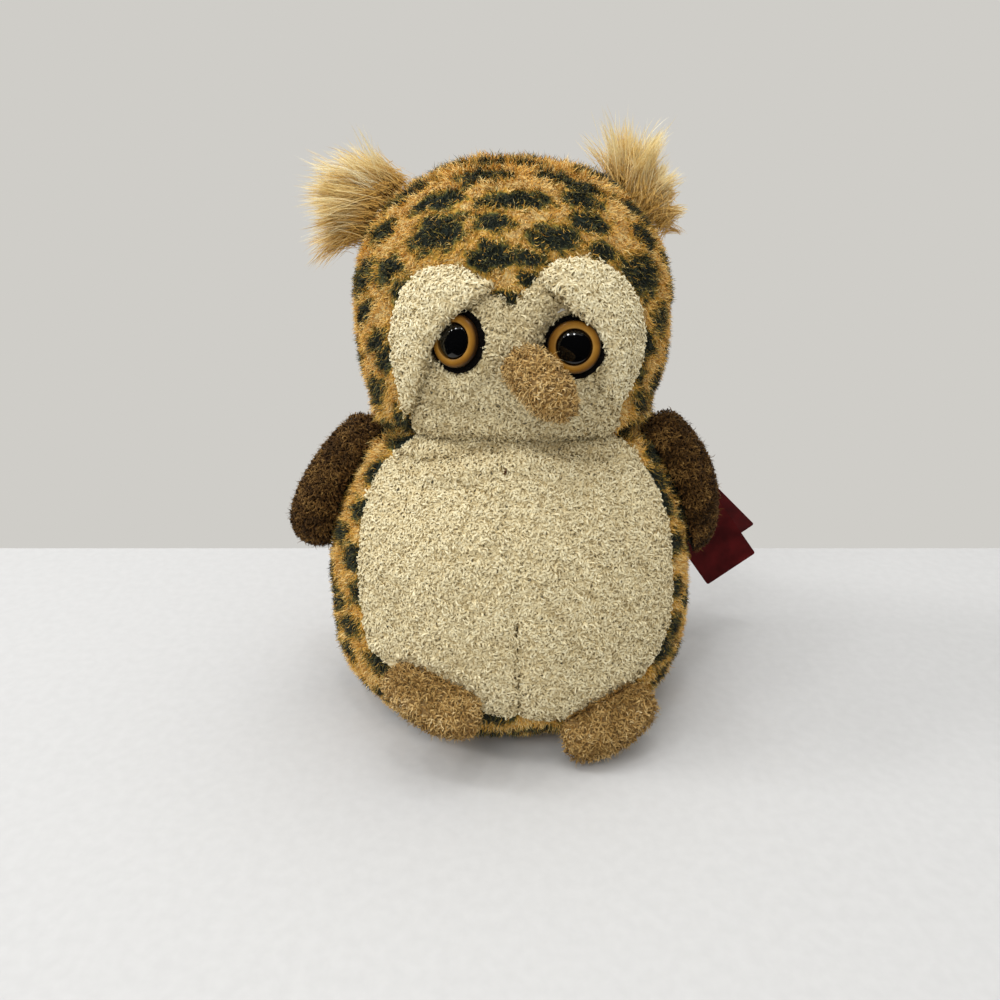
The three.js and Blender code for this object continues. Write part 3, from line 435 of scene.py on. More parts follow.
def cut_pile(draw, roots, out, lay, length, lean, fray, curl, steps):
    """Middles of fibres that rise from their roots, lean over towards lay, and curl."""
    count = len(roots)
    rise = unit(out + lean * lay + fray * draw.normal(size=(count, 3)))
    bow = lean * lay + 0.8 * fray * draw.normal(size=(count, 3))
    side = unit(np.cross(rise, draw.normal(size=(count, 3))))
    other = np.cross(rise, side)
    s = np.linspace(0, 1, steps)[None, :, None]
    turn = draw.uniform(0, 2 * math.pi, (count, 1, 1)) + 5.5 * s
    swing = curl * s * (np.cos(turn) * side[:, None] + np.sin(turn) * other[:, None])
    return roots[:, None] + length[:, None, None] * (rise[:, None] * s + 0.5 * bow[:, None] * s**2 + swing)


def linear(code):
    """An sRGB hex colour as the linear colour that the shaders take."""
    parts = [int(code[k : k + 2], 16) / 255 for k in (1, 3, 5)]
    return (*[p / 12.92 if p <= 0.04045 else ((p + 0.055) / 1.055) ** 2.4 for p in parts], 1.0)


def node(tree, kind, inputs=None, stops=(), **settings):
    """Adds a shader node to a tree. An input is a value or another node's output."""
    made = tree.nodes.new(f"ShaderNode{kind}")
    for key, value in settings.items():
        setattr(made, key, value)
    for key, value in (inputs or {}).items():
        if isinstance(value, bpy.types.NodeSocket):
            tree.links.new(value, made.inputs[key])
        else:
            made.inputs[key].default_value = value
    for place, (at, code) in enumerate(stops):
        steps = made.color_ramp.elements
        stop = steps[place] if place < len(steps) else steps.new(at)
        stop.position, stop.color = at, linear(code)
    return made


def carried(tree, key):
    """A value that the mesh carries at each point."""
    return node(tree, "Attribute", attribute_name=key).outputs["Fac"]


def ramp(tree, value, stops):
    return node(tree, "ValToRGB", {"Fac": value}, stops).outputs["Color"]


def tinted(tree, colour, tint):
    inputs = {"Factor": 1.0, 6: colour, 7: tint}
    return node(tree, "Mix", inputs, data_type="RGBA", blend_type="MULTIPLY").outputs[2]


def clouds(tree, size_mm, detail=2.0):
    """Cloudy noise fixed to the piece, with lumps of about this size."""
    spot = node(tree, "TexCoord").outputs["Object"]
    inputs = {"Vector": spot, "Scale": 1 / (size_mm * MM), "Detail": detail}
    return node(tree, "TexNoise", inputs).outputs["Fac"]


def relief(tree, height, depth_mm, strength, **settings):
    inputs = {"Height": height, "Distance": depth_mm * MM, "Strength": strength}
    return node(tree, "Bump", inputs, **settings).outputs["Normal"]


def new_material(name):
    made = bpy.data.materials.new(name)
    made.use_nodes = True
    made.node_tree.nodes.clear()
    return made, made.node_tree


def coat(tree, colour, roughness, more):
    """The material's surface, with more of the shader's own values by name."""
    shader = node(tree, "BsdfPrincipled", {"Base Color": colour, "Roughness": roughness, **more})
    node(tree, "OutputMaterial", {"Surface": shader.outputs["BSDF"]})


def fibre_material(name, dye_stops, root, shade, roughness, sheen):
    """Dyed fibres: their dye along a ramp, each fibre lighter or darker at random, and painted darker near
    the root as painted shade within the pile.
    """
    made, tree = new_material(name)
    colour = ramp(tree, carried(tree, "dye"), dye_stops)
    # The height ramp is painted shade: each fibre is painted darker towards its root.
    for key, stops in (("tone", [(0, shade), (1, "#ffffff")]), ("height", [(0, root), (0.8, "#ffffff")])):
        colour = tinted(tree, colour, ramp(tree, carried(tree, key), stops))
    coat(tree, colour, roughness, {"Specular IOR Level": 0.25, "Sheen Weight": sheen})
    return made


def backing_material(name, dye_stops, stitch_mm):
    """Knitted backing under a pile: the same dye, darker with painted shade between the stitches, with rows
    of stitches and a rough face.
    """
    made, tree = new_material(name)
    spot = node(tree, "TexCoord").outputs["Object"]
    knit = {"Vector": spot, "Scale": 1 / (stitch_mm * MM), "Randomness": 0.6}
    stitches = node(tree, "TexVoronoi", knit).outputs["Distance"]
    # Painted shade: the cloth is painted darker away from the middle of each stitch.
    shaded = ramp(tree, stitches, [(0.1, "#f0f0f0"), (0.8, "#c8c8c8")])
    colour = tinted(tree, ramp(tree, carried(tree, "dye"), dye_stops), shaded)
    knitted = relief(tree, stitches, 0.3, 0.8, invert=True)
    coat(tree, colour, 0.95, {"Normal": knitted, "Specular IOR Level": 0.15})
    return made


# Blotches seen from the front: across, depth, height, half length and half height.
BLOTCHES = [
    (-24, -38, 166, 8.9, 6.4), (-6, -41, 169, 6.6, 3.2), (-7, -45, 159, 7.6, 4.5),
    (13, -42, 164, 8.3, 4.3), (24, -36, 169, 6.8, 3.7), (1.5, -37, 175.5, 7.2, 3.7),
    (22.5, -31.5, 176.5, 5, 3.6), (-8.5, -27.5, 183.5, 6.4, 3.7), (14, -26, 183.8, 4, 3.5),
    (23, -26.5, 180.5, 4.4, 3.3), (-6.5, -18, 188.5, 4.2, 3.8), (5, -18, 188.5, 3.8, 3.6),
    (-23.5, -31, 176, 6.2, 3.9), (28, -38, 160, 5.5, 3.1), (42, -30, 153, 9.2, 5.9),
    (-41, -31, 155, 6.9, 3.9), (-36, -36, 148, 4.9, 5.1), (-3, -47, 146, 4.5, 2.6),
    (5, -47, 152, 3.8, 2.2), (5, -46, 158, 5.7, 2.3), (-50, -20, 141, 7.7, 3.3),
    (-45, -27, 132, 6, 3.6), (-42, -30, 126, 6, 3.6), (-47, -18, 114, 8.9, 5),
    (-36, -27, 105, 6.5, 5.1), (-46, -25, 89, 7.1, 4.9), (-52, -27, 76, 7.2, 4),
    (-55, -31, 60, 7.3, 4.4), (-53, -34, 48, 6.5, 4.8), (43, -28, 155, 7.4, 4.7),
    (45, -20, 111, 6, 4), (53, -26, 78, 9.4, 4.7), (57, -26, 64, 8.8, 4.1), (52, -34, 27, 9.3, 5.2),
]  # fmt: skip
ROW_WAYS = {"head": (0, 0.5, 0.87), "body": (0, 0.15, 1)}
BLOTCH_SPACING = (16.5, 8.2)
BLOTCH_REACH = 24
BLOTCH_LENGTHS = (6, 9.5)  # half lengths and half heights of those that aren't seen in front
BLOTCH_HEIGHTS = (3.4, 5.2)
BLOTCH_TRIES = 0.07
BLOTCH_EDGE = (0.45, 1.62)  # as shares of its half size, where a blotch starts to fade and ends
CROWN_LEVEL = 171  # over this the blotches run together in bands
BAND_STRETCH = 1.45
BAND_SPACING = 1.12


def blotch_axes(normal, way):
    """Directions along and across a row of blotches on the skin."""
    across_row = unit(np.array(way) - normal * (np.array(way) @ normal))
    return np.cross(across_row, normal), across_row


def all_blotches(part, form, points, faces):
    """The blotches seen in front, and others like them spread over the rest of the cover."""
    draw = np.random.default_rng(21 if part == "head" else 22)
    found = []
    for x, y, z, half_length, half_height in BLOTCHES:
        if (z > NECK_LEVEL) == (part == "head"):
            centre = np.array([x, y, z], float)
            axes = blotch_axes(height_over(form, centre)[1], ROW_WAYS[part])
            stretch = BAND_STRETCH if z > CROWN_LEVEL else 1
            found.append((centre, *axes, (half_length * stretch, half_height)))
    spots, normals = scattered(points, faces, BLOTCH_TRIES, draw)
    for spot, normal in zip(spots, normals):
        centres, lengthwise, upright = (np.array([one[k] for one in found]) for k in range(3))
        off = spot - centres
        near = (off**2).sum(1) < BLOTCH_REACH**2
        shares = np.stack([(off * lengthwise).sum(1), (off * upright).sum(1)], -1) / BLOTCH_SPACING
        shares, stretch = (shares / BAND_SPACING, BAND_STRETCH) if spot[2] > CROWN_LEVEL else (shares, 1)
        size = (draw.uniform(*BLOTCH_LENGTHS) * stretch, draw.uniform(*BLOTCH_HEIGHTS))
        if not ((shares**2).sum(1)[near] < 1).any():
            found.append((spot, *blotch_axes(normal, ROW_WAYS[part]), size))
    return found


def ink(points, blotches):
    """How dark the print is: 1 in the middle of a blotch, 0 on the ochre ground."""
    ragged = 0.2 * lumps(points, 5, 5) + 0.12 * lumps(points, 6, 2.6)
    least = np.full(len(points), 9.0)
    for centre, lengthwise, upright, (half_length, half_height) in blotches:
        off = points - centre
        spread = np.hypot(off @ lengthwise / half_length, off @ upright / half_height)
        least = np.minimum(least, np.where((off**2).sum(1) < BLOTCH_REACH**2, spread, 9.0))
    return 1 - settle(*BLOTCH_EDGE, least + ragged)


# From the ochre ground over its olive edge to the nearly black middle of a blotch.
print_dye = [(0.0, "#ffe5a0"), (0.2, "#fcc862"), (0.36, "#dcb04e"), (0.56, "#968c48"), (0.74, "#5c6040")]
print_dye += [(0.95, "#2d352e")]
# Polyester fibres with printed tips. Their roots are painted darker as painted shade, which makes the print
# look deep.
printed_fibre = fibre_material("printed_polyester_cut_pile", print_dye, "#dfceaa", "#dcd4c8", 0.7, 0.05)
printed_backing = backing_material("printed_polyester_knit_backing", print_dye, 1.2)

PRINT_DENSITY = 3.3  # fibres on each square millimetre
PRINT_HALF_WIDTH = 0.19
LEAST_PILE_HEIGHT = 1.6 * MM
PRINT_LENGTHS = (0.8, 1.4)  # shares of PRINT_PILE
NECK_OVERLAP = 1.0  # how far the pile of one cover reaches past the neck seam
CLOTH_OVERLAP = 2.5
POLE_GAP = 0.01  # keeps the highest and the lowest ring of the covers from shrinking to a point
CROWN_RISE = (172, 190)  # between these heights the pile gets longer
CROWN_MORE = 0.5
SHOULDER = (45, 9, 100)  # beside each wing's root the pile is brushed out over the seam
SHOULDER_SPREAD = 8
SHOULDER_MORE = 1.3
crown_top = head["level"] + head["rise"] - POLE_GAP
base_level = body["level"] - body["drop"] + POLE_GAP
covers = {
    "head": (head, 130, 260, crown_top, NECK_LEVEL - CLOTH_OVERLAP),
    "body": (body, 150, 300, NECK_LEVEL + CLOTH_OVERLAP, base_level),
}
cloths = {}
for seed, (part, (form, rows, spokes, top_level, bottom_level)) in enumerate(covers.items(), 31):
    grid, cream = cloth_rows(part, form, rows, spokes, top_level, bottom_level)
    points, cream = grid.reshape(-1, 3), cream.ravel()
    faces = round_faces(rows, spokes)
    cream_faces = cream[faces].sum(1) >= 2
    grounded = (standing(points)[:, 2] <= 0)[faces].all(1)
    printed = faces[~cream_faces & ~grounded]
    blotches = all_blotches(part, form, points, printed)
    dye = ink(points, blotches)
    crown = [np.arange(spokes)] if part == "head" else []
    cloth = cloth_object(f"{part}_cover_cloth", points, printed, printed_backing, dye, crown)
    draw = np.random.default_rng(seed)
    roots, out = scattered(points, printed, PRINT_DENSITY, draw)
    kept = ~inside(outlines[part][0], roots) & (standing(roots)[:, 2] > LEAST_PILE_HEIGHT)
    kept &= (roots[:, 2] - NECK_LEVEL) * (1 if part == "head" else -1) > -NECK_OVERLAP
    roots, out = roots[kept], out[kept]
    count = len(roots)
    length = PRINT_PILE * draw.uniform(*PRINT_LENGTHS, count)
    length = length * (1 + CROWN_MORE * settle(*CROWN_RISE, roots[:, 2]))
    by_wing = np.linalg.norm(np.abs(roots) - SHOULDER, axis=1)
    length = length * (1 + SHOULDER_MORE * bell(by_wing, SHOULDER_SPREAD))
    brushed = np.stack([lumps(roots, k, 7) for k in (11, 12, 13)], -1)
    lay = unit(hanging(out) + 0.9 * brushed)
    lines = cut_pile(draw, roots, out, lay, length, lean=0.5, fray=0.45, curl=0.25, steps=4)
    # The ground is cloudy, and painted paler towards the crown as painted light from above. Dark fibres
    # stray most from their dye.
    ground = 0.12 + 0.12 * lumps(roots, 14, 9) - 0.2 * settle(160, 180, roots[:, 2])
    dark = ink(roots, blotches)
    mixed = (0.13 + 0.17 * settle(0.1, 0.5, dark)) * draw.normal(size=count)
    fibre_dye = np.clip(np.maximum(dark, ground) + mixed, 0, 1)
    tone = draw.random(count)
    named = (f"{part}_cover_pile", cloth, printed_fibre)
    pile = pile_object(named, lines, PRINT_HALF_WIDTH, out, fibre_dye, tone, PRINT_PILE)
    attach(cloth, "toy")
    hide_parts(f"{part}_cover")
    cloths[part] = (points, faces[cream_faces], faces[grounded & ~cream_faces], dye)

# ---- Base panel -----------------------------------------------------------------------------
# The round bottom of the same printed plush, sewn to the body cover and pressed flat by the
# toy's own weight, so its pile lies down.

points, _, base_faces, dye = cloths["body"]
bottom_end = [np.arange(len(points) - covers["body"][2], len(points))[::-1]]
base = cloth_object("base_panel_cloth", points, base_faces, printed_backing, dye, bottom_end)
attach(base, "toy")
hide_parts("base_panel")

# ---- Cream face and tummy -------------------------------------------------------------------
# Cream polyester terry with small curled loops about 2 mm high, sewn edge to edge into the
# printed covers. The tummy has a dart up its middle that a machine seam closes.

cream_dye = [(0.0, "#d2c49d"), (0.5, "#eee3be"), (1.0, "#f8efcd")]
# Brushed loops, each a little lighter or darker at random and painted darker at the root as painted shade,
# with warm dark gaps between them.
cream_fibre = fibre_material("cream_polyester_terry_loops", cream_dye, "#e8dcc4", "#f0ebe0", 0.75, 0.05)
# The backing's dark end is the painted shade in its creases.
cream_backing = backing_material("cream_polyester_knit_backing", [(0.0, "#8c7850"), (1.0, "#f4ebcc")], 1.0)

LOOP_STEPS = 6


def terry(draw, roots, out, span, height):
    """Middles of small loops: each one leaves the cloth, arches over and comes back down."""
    count = len(roots)
    run = unit(np.cross(out, draw.normal(size=(count, 3))))
    bend = np.cross(out, run) * draw.normal(0, 0.35, (count, 1))
    s = np.linspace(0, 1, LOOP_STEPS)[None, :, None]
    arch = np.sin(math.pi * np.linspace(0.12, 0.93, LOOP_STEPS))[None, :, None]
    tilt = unit(out + 0.35 * draw.normal(size=(count, 3)))
    flat = run[:, None] * (s - 0.5) + bend[:, None] * (4 * s * (1 - s))
    return roots[:, None] + span[:, None, None] * flat + height[:, None, None] * tilt[:, None] * arch


CREAM_DENSITY = 4.2
LOOP_SPAN = (1.6, 3.4)
LOOP_HEIGHT = (0.8, 1.8)
LOOP_HALF_WIDTH = 0.36
FULL_LOOP = 1.2  # over this height a loop gets no more painted shade
SLIT_HALF_WIDTH = 0.8
CLUMP_SIZE = 3.3  # loops stand together in clumps of about this size
CLUMP_RISE = 0.32  # of their height, how far loops in a clump stand over the others
CREASE_SHADE_WITHIN = (0.3, 1.6)  # of a dart, pleat, fold and slit: where the painted shade on the cloth is full, and where it ends
FOLD_SHADE = 0.5  # how much of their paleness loops in a fold lose to painted shade
FOLD_SPREAD = 2.2
BARE_AT_NECK = 0.9
folds = [left_fold, right_fold, *slits]


def loops_grow(roots):
    """Where loops stand: not under an eye, and not in a dart, pleat, fold, slit or the neck."""
    kept = np.abs(roots[:, 2] - NECK_LEVEL) > BARE_AT_NECK
    bare = [(dart_line, 1.0), (pleat_line, 0.5), (left_fold, 0.6), (right_fold, 0.3)]
    for line, half_width in [*bare, (slits[0], SLIT_HALF_WIDTH), (slits[1], SLIT_HALF_WIDTH)]:
        kept &= away_from(line, roots) > half_width
    for place, gaze in eyes.values():
        off = roots - place
        kept &= np.linalg.norm(off - (off @ gaze)[:, None] * gaze, axis=1) > FELT_RADIUS + 0.2
    return kept


def terry_piece(name, points, faces, paleness, seed, outline=None):
    """A piece of cream terry: its cloth, painted darker in its seams and folds as painted shade, and loops
    all over or in an outline.
    """
    # Painted shade: the cloth is painted darker along the dart, pleat, folds and slits, where shade falls.
    painted_crease_shade = settle(*CREASE_SHADE_WITHIN, away_from_all([dart_line, pleat_line, *folds], points))
    cloth = cloth_object(f"{name}_cloth", points, faces, cream_backing, painted_crease_shade)
    draw = np.random.default_rng(seed)
    roots, out = scattered(points, faces, CREAM_DENSITY, draw)
    if outline is not None:
        kept = inside(outline, roots) & loops_grow(roots)
        roots, out = roots[kept], out[kept]
    count = len(roots)
    clump = lumps(roots, 10, CLUMP_SIZE)
    height = draw.uniform(*LOOP_HEIGHT, count) * (1 + CLUMP_RISE * clump)
    lines = terry(draw, roots, out, draw.uniform(*LOOP_SPAN, count), height)
    # Painted shade: loops in and beside the folds and slits are painted darker.
    folded = paleness - FOLD_SHADE * bell(away_from_all(folds, roots), FOLD_SPREAD)
    # Loops are painted paler where their clump stands higher: painted light on the clumps and painted shade
    # between them.
    mottled = 0.08 * lumps(roots, 8, 9) + 0.13 * clump + 0.08 * draw.normal(size=count)
    dye = np.clip(folded + mottled, 0, 1)
    width = LOOP_HALF_WIDTH * draw.uniform(0.7, 1.25, count)
    named = (f"{name}_pile", cloth, cream_fibre)
    pile = pile_object(named, lines, width, out, dye, draw.random(count), FULL_LOOP)
    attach(cloth, "toy")
    return cloth


# The face's terry is painted darker than the tummy's and the folds', as painted shade under the brow.
for part, name, paleness, seed in (("head", "face", 0.22, 41), ("body", "tummy", 0.42, 42)):
    points, faces, _, _ = cloths[part]
    patch = terry_piece(name, points, faces, paleness, seed, outlines[part][0])
    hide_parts(f"{name}_patch")

# A tack of brown polyester sewing thread, drawn tight, holds the lower end of the chin's pleat.
thread_dye = [(0.0, "#4a2c15"), (1.0, "#6e4626")]
tack_thread = fibre_material("brown_polyester_thread", thread_dye, "#ffffff", "#c8c8c8", 0.6, 0.0)
TACK_STITCHES = 6
TACK_HEIGHT = 1.3
STITCH_WIDTH = 1.1
THREAD_HALF_WIDTH = 0.2
across = pleat_line[0, 0] + np.linspace(-0.15, 0.15, TACK_STITCHES)
level = pleat_line[0, 1] + np.linspace(-0.5, 0.5, TACK_STITCHES) * TACK_HEIGHT
roots, out = on_skin(body, across, level)
s = np.linspace(0, 1, 7)[None, :, None]
lines = roots[:, None] + STITCH_WIDTH * (s - 0.5) * np.array([1.0, 0, 0.25])
lines = lines + out[:, None] * (0.9 * np.sin(math.pi * s) - 0.3)
draw = np.random.default_rng(43)
dye, tone = draw.random(TACK_STITCHES), draw.random(TACK_STITCHES)
tack = pile_object(("tummy_tack", patch, tack_thread), lines, THREAD_HALF_WIDTH, out, dye, tone, 1)

# ---- Brow folds -----------------------------------------------------------------------------
# The outer part of each face lobe is a fold of the same cream terry, lightly filled and stitched
# down along the lobe's seam. Its free edge rolls over the outer side of the eye.

LID_ACROSS = 26
LIP_FROM = 0.66  # of the rows across, where the fold starts to roll over
LIP_TURN = math.radians(225)  # how far its free edge curls under, which leaves a shadowed slit
LID_SINK = 1.3
CROWN_POWER = 0.8
END_POWER = 0.35  # how full the fold stays towards its two ends
for seed, (side, (fold, lobe, puff, paleness)) in enumerate(lids.items(), 51):
    fold_line, seam_line, towards_eye = lid_lines(fold, lobe)
    over = np.linspace(0, 1, LID_ACROSS)[None, :]
    seen = seam_line[:, None] + (fold_line - seam_line)[:, None] * np.minimum(over / LIP_FROM, 1)[..., None]
    ends = np.sin(math.pi * np.linspace(0.02, 0.98, LID_STEPS))[:, None] ** END_POWER
    turn = np.clip((over - LIP_FROM) / (1 - LIP_FROM), 0, 1) * LIP_TURN
    crown = np.sin(0.5 * math.pi * np.clip(over / LIP_FROM, 0, 1)) ** CROWN_POWER
    height = puff * ends * np.where(over < LIP_FROM, crown, 0.6 + 0.4 * np.cos(turn)) - LID_SINK
    seen = seen + towards_eye[:, None] * (LIP_OVERHANG * puff * ends * np.sin(turn))[..., None]
    skin, normal = on_skin(head, seen[..., 0], seen[..., 1])
    points = (skin + normal * height[..., None]).reshape(-1, 3)
    r, s = np.meshgrid(np.arange(LID_STEPS - 1), np.arange(LID_ACROSS - 1), indexing="ij")
    a = r * LID_ACROSS + s
    faces = np.stack([a, a + 1, a + LID_ACROSS + 1, a + LID_ACROSS], -1).reshape(-1, 4)
    if (normals_of(points, faces) * normal.reshape(-1, 3)).sum() < 0:
        faces = faces[:, ::-1]
    lid = terry_piece(f"lid_{side}", points, faces, paleness, seed)
    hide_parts(f"lid_{side}")

# ---- Eyes -----------------------------------------------------------------------------------
# Safety eyes: a glossy black moulded dome with its shank, in a ring of amber plastic, on a rim of
# black felt. The shank goes through the face and a washer locks it behind the cloth.

EYE_SPOKES = 72
PUPIL_RADIUS = 5.1
DOME_HEIGHT = 2
DOME_TOP = 3.3


def square_to(gaze, turn):
    """Directions square to the way that an eye looks."""
    right = unit(np.cross(gaze, (0, 0, 1)))
    return np.cos(turn) * right + np.sin(turn) * np.cross(right, gaze)


def turned_piece(name, profile, place, gaze, material):
    """A profile of radius and height over the eye's seat, turned round the way it looks."""
    profile = np.array(profile, float)
    spoke = square_to(gaze, np.linspace(0, 2 * math.pi, EYE_SPOKES, endpoint=False)[:, None])
    points = (place + profile[:, None, :1] * spoke[None] + profile[:, None, 1:] * gaze).reshape(-1, 3)
    faces = round_faces(len(profile), EYE_SPOKES)[:, ::-1]
    radius_share = np.repeat(profile[:, 0] / profile[:, 0].max(), EYE_SPOKES)
    return cloth_object(name, points, faces, material, radius_share)


def arc(centre_radius, centre_height, radius, start, end, count):
    turns = np.radians(np.linspace(start, end, count))
    return [(centre_radius + radius * math.cos(t), centre_height + radius * math.sin(t)) for t in turns]


# Pressed wool felt, nearly black, matt, with a soft uneven face.
felt, tree = new_material("black_pressed_wool_felt")
fuzz = clouds(tree, 0.6, 4.0)
felt_colour = ramp(tree, fuzz, [(0.3, "#040303"), (0.75, "#15110f")])
coat(tree, felt_colour, 0.95, {"Specular IOR Level": 0.1, "Normal": relief(tree, fuzz, 0.3, 0.7)})

# Amber acrylic, moulded and polished: deep brown at its rim, honey near the dome, and glossy.
amber, tree = new_material("amber_moulded_acrylic")
ring_stops = [(0.66, "#3a220a"), (0.71, "#a97d38"), (0.8, "#9a6c20"), (0.92, "#7d5416"), (0.98, "#2c1907")]
ring_colour = ramp(tree, carried(tree, "dye"), ring_stops)
clouded = ramp(tree, clouds(tree, 5), [(0.3, "#d8d0c4"), (0.7, "#ffffff")])
coat(tree, tinted(tree, ring_colour, clouded), 0.3, {"IOR": 1.49, "Specular IOR Level": 0.3})

# Black ABS, moulded and polished, so it mirrors the lamps as a row of small dots.
black, tree = new_material("black_polished_abs")
scuffed = node(tree, "MapRange", {"Value": clouds(tree, 3), "To Min": 0.03, "To Max": 0.09})
coat(tree, linear("#050506"), scuffed.outputs["Result"], {"IOR": 1.54})

# Loose wool standing out from the rim's cut edge.
fuzz_dye = [(0.0, "#060505"), (1.0, "#1d1815")]
wool_fuzz = fibre_material("black_wool_fuzz", fuzz_dye, "#ffffff", "#c0c0c0", 0.95, 0.0)
FUZZ_COUNT = 420
FUZZ_HALF_WIDTH = 0.12
FUZZ_RING = (8.3, 9.6)
FUZZ_SINK = 1.2
FUZZ_LENGTH = (0.5, 1.3)

dome_radius = (PUPIL_RADIUS**2 + DOME_HEIGHT**2) / (2 * DOME_HEIGHT)
dome_edge = math.degrees(math.acos(PUPIL_RADIUS / dome_radius))
felt_profile = [(2.3, -2), (9.2, -2), *arc(9.3, -1.5, 0.45, -90, 90, 7), (2.3, -1)]
iris_profile = [(2.3, -0.7), (7.9, -0.7), *arc(7.85, -0.35, 0.35, -90, 0, 5)]
iris_profile += [*arc(6.6, -0.2, 1.6, 5, 85, 12), (6.1, 1.36), *arc(5.75, 1.2, 0.15, 90, 180, 4)]
iris_profile += [(5.6, 0.1), (2.3, 0.1)]
pupil_profile = [(0.02, -11.6), (2, -11.6), (2, 0.4), (5, 0.4), *arc(5.05, 0.75, 0.25, -90, 0, 4)]
pupil_profile += arc(0, DOME_TOP - dome_radius, dome_radius, dome_edge, 89.9, 24)
for side, (place, gaze) in eyes.items():
    for name, profile, finish, kept_slot, solid in (
        ("felt_rim", felt_profile, felt, "black_felt", "eye_felt"),
        ("amber_ring", iris_profile, amber, "amber_plastic", "iris"),
        ("black_dome", pupil_profile, black, "black_plastic", "pupil"),
    ):
        piece = turned_piece(f"{name}_{side}", profile, place, gaze, finish)
        if finish is felt:
            draw = np.random.default_rng(len(side))
            radial = square_to(gaze, draw.uniform(0, 2 * math.pi, (FUZZ_COUNT, 1)))
            roots = place + radial * draw.uniform(*FUZZ_RING, (FUZZ_COUNT, 1)) - FUZZ_SINK * gaze
            out = np.tile(gaze, (FUZZ_COUNT, 1))
            length = draw.uniform(*FUZZ_LENGTH, FUZZ_COUNT)
            lines = cut_pile(draw, roots, out, radial, length, lean=0.9, fray=0.5, curl=0.15, steps=3)
            dye, tone = draw.random(FUZZ_COUNT), draw.random(FUZZ_COUNT)
            named = (f"{name}_{side}_fuzz", piece, wool_fuzz)
            pile_object(named, lines, FUZZ_HALF_WIDTH, out, dye, tone, 1)
        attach(piece, "toy")
        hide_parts(f"{solid}_{side}")

# ---- Wings ----------------------------------------------------------------------------------
# Two stuffed paddles of dark brown sherpa pile, each sewn to the shoulder by its upper end only,
# so they hang and can be lifted sideways.


def swell(ends, share):
    """Root, middle and tip values joined by a parabola."""
    root, middle, tip = ends
    rest = 1 - share
    return root * rest * (1 - 2 * share) + 4 * middle * share * rest + tip * share * (2 * share - 1)


def placing(spot, along, outwards):
    """A limb's hinge point and its axes: the hinge lies along Y, and X points out of the toy."""
    along = unit(np.array(along, float))
    outwards = np.array(outwards, float)
    out = unit(outwards - along * (outwards @ along))
    return spot, np.stack([out, along, np.cross(out, along)])


ROOT_ROUNDING = -84  # degrees, short of 90 so that each end keeps a small flat face
TIP_ROUNDING = 86
PRESSES = 5  # how many lifts within its range a limb is pressed at


def limb_rows(limb, rows, spokes):
    """A limb's skin as a grid, pressed off head and body wherever its joint can take it."""
    place, axes = limb["placing"]
    round_from = limb["round_from"]
    start_turn = np.radians(np.linspace(ROOT_ROUNDING, 0, rows // 5))
    tip_turn = np.radians(np.linspace(0, TIP_ROUNDING, rows // 3))
    middle = np.linspace(0, round_from, rows - len(start_turn) - len(tip_turn) + 2)[1:-1]
    start_share = limb["root_share"] * np.sin(start_turn)
    share = np.concatenate([start_share, middle, round_from + (1 - round_from) * np.sin(tip_turn)])
    taper = np.concatenate([np.cos(start_turn), np.ones(len(middle)), np.cos(tip_turn)])
    start, end = (math.radians(angle) for angle in limb["degrees"])
    angle = start + (end - start) * share
    radius = limb["length"] / (end - start)
    across, up = radius * (math.cos(start) - np.cos(angle)), radius * (math.sin(start) - np.sin(angle))
    centre = np.stack([across, 0 * share, up], -1)
    kept = np.clip(share, 0, 1)
    thick = ((limb["thick"] - limb["sink"]) * swell(limb["thick_shares"], kept) * taper)[:, None]
    wide = ((limb["wide"] - limb["sink"]) * swell(limb["wide_shares"], kept) * taper)[:, None]
    turn = np.linspace(0, 2 * math.pi, spokes, endpoint=False)[None]
    cos, sin = np.cos(angle)[:, None], np.sin(angle)[:, None]
    section = [-cos * thick * np.cos(turn), wide * np.sin(turn), -sin * thick * np.cos(turn)]
    local = centre[:, None] + np.stack(section, -1)
    for lift in np.radians(np.linspace(*limb["lifts"], PRESSES)):
        cos, sin = math.cos(lift), math.sin(lift)
        lifted = np.array([[cos, 0, -sin], [0, 1, 0], [sin, 0, cos]])
        posed = place + (local @ lifted.T) @ axes
        for form in limb["forms"]:
            for _ in range(3):
                over, out = height_over(form, posed)
                posed = posed + out * np.maximum(limb["clear"] - over, 0)[..., None]
        local = ((posed - place) @ axes.T) @ lifted
    return place + local @ axes


def limb_cloth(name, limb, rows, spokes, backing):
    points = limb_rows(limb, rows, spokes).reshape(-1, 3)
    faces = round_faces(rows, spokes)
    ends = [np.arange(spokes)[::-1], np.arange(spokes * (rows - 1), spokes * rows)]
    if (normals_of(points, faces) * (points - points.mean(0))).sum() < 0:
        faces = faces[:, ::-1]
        ends = [end[::-1] for end in ends]
    return cloth_object(name, points, faces, backing, np.full(len(points), 0.5), ends), points, faces


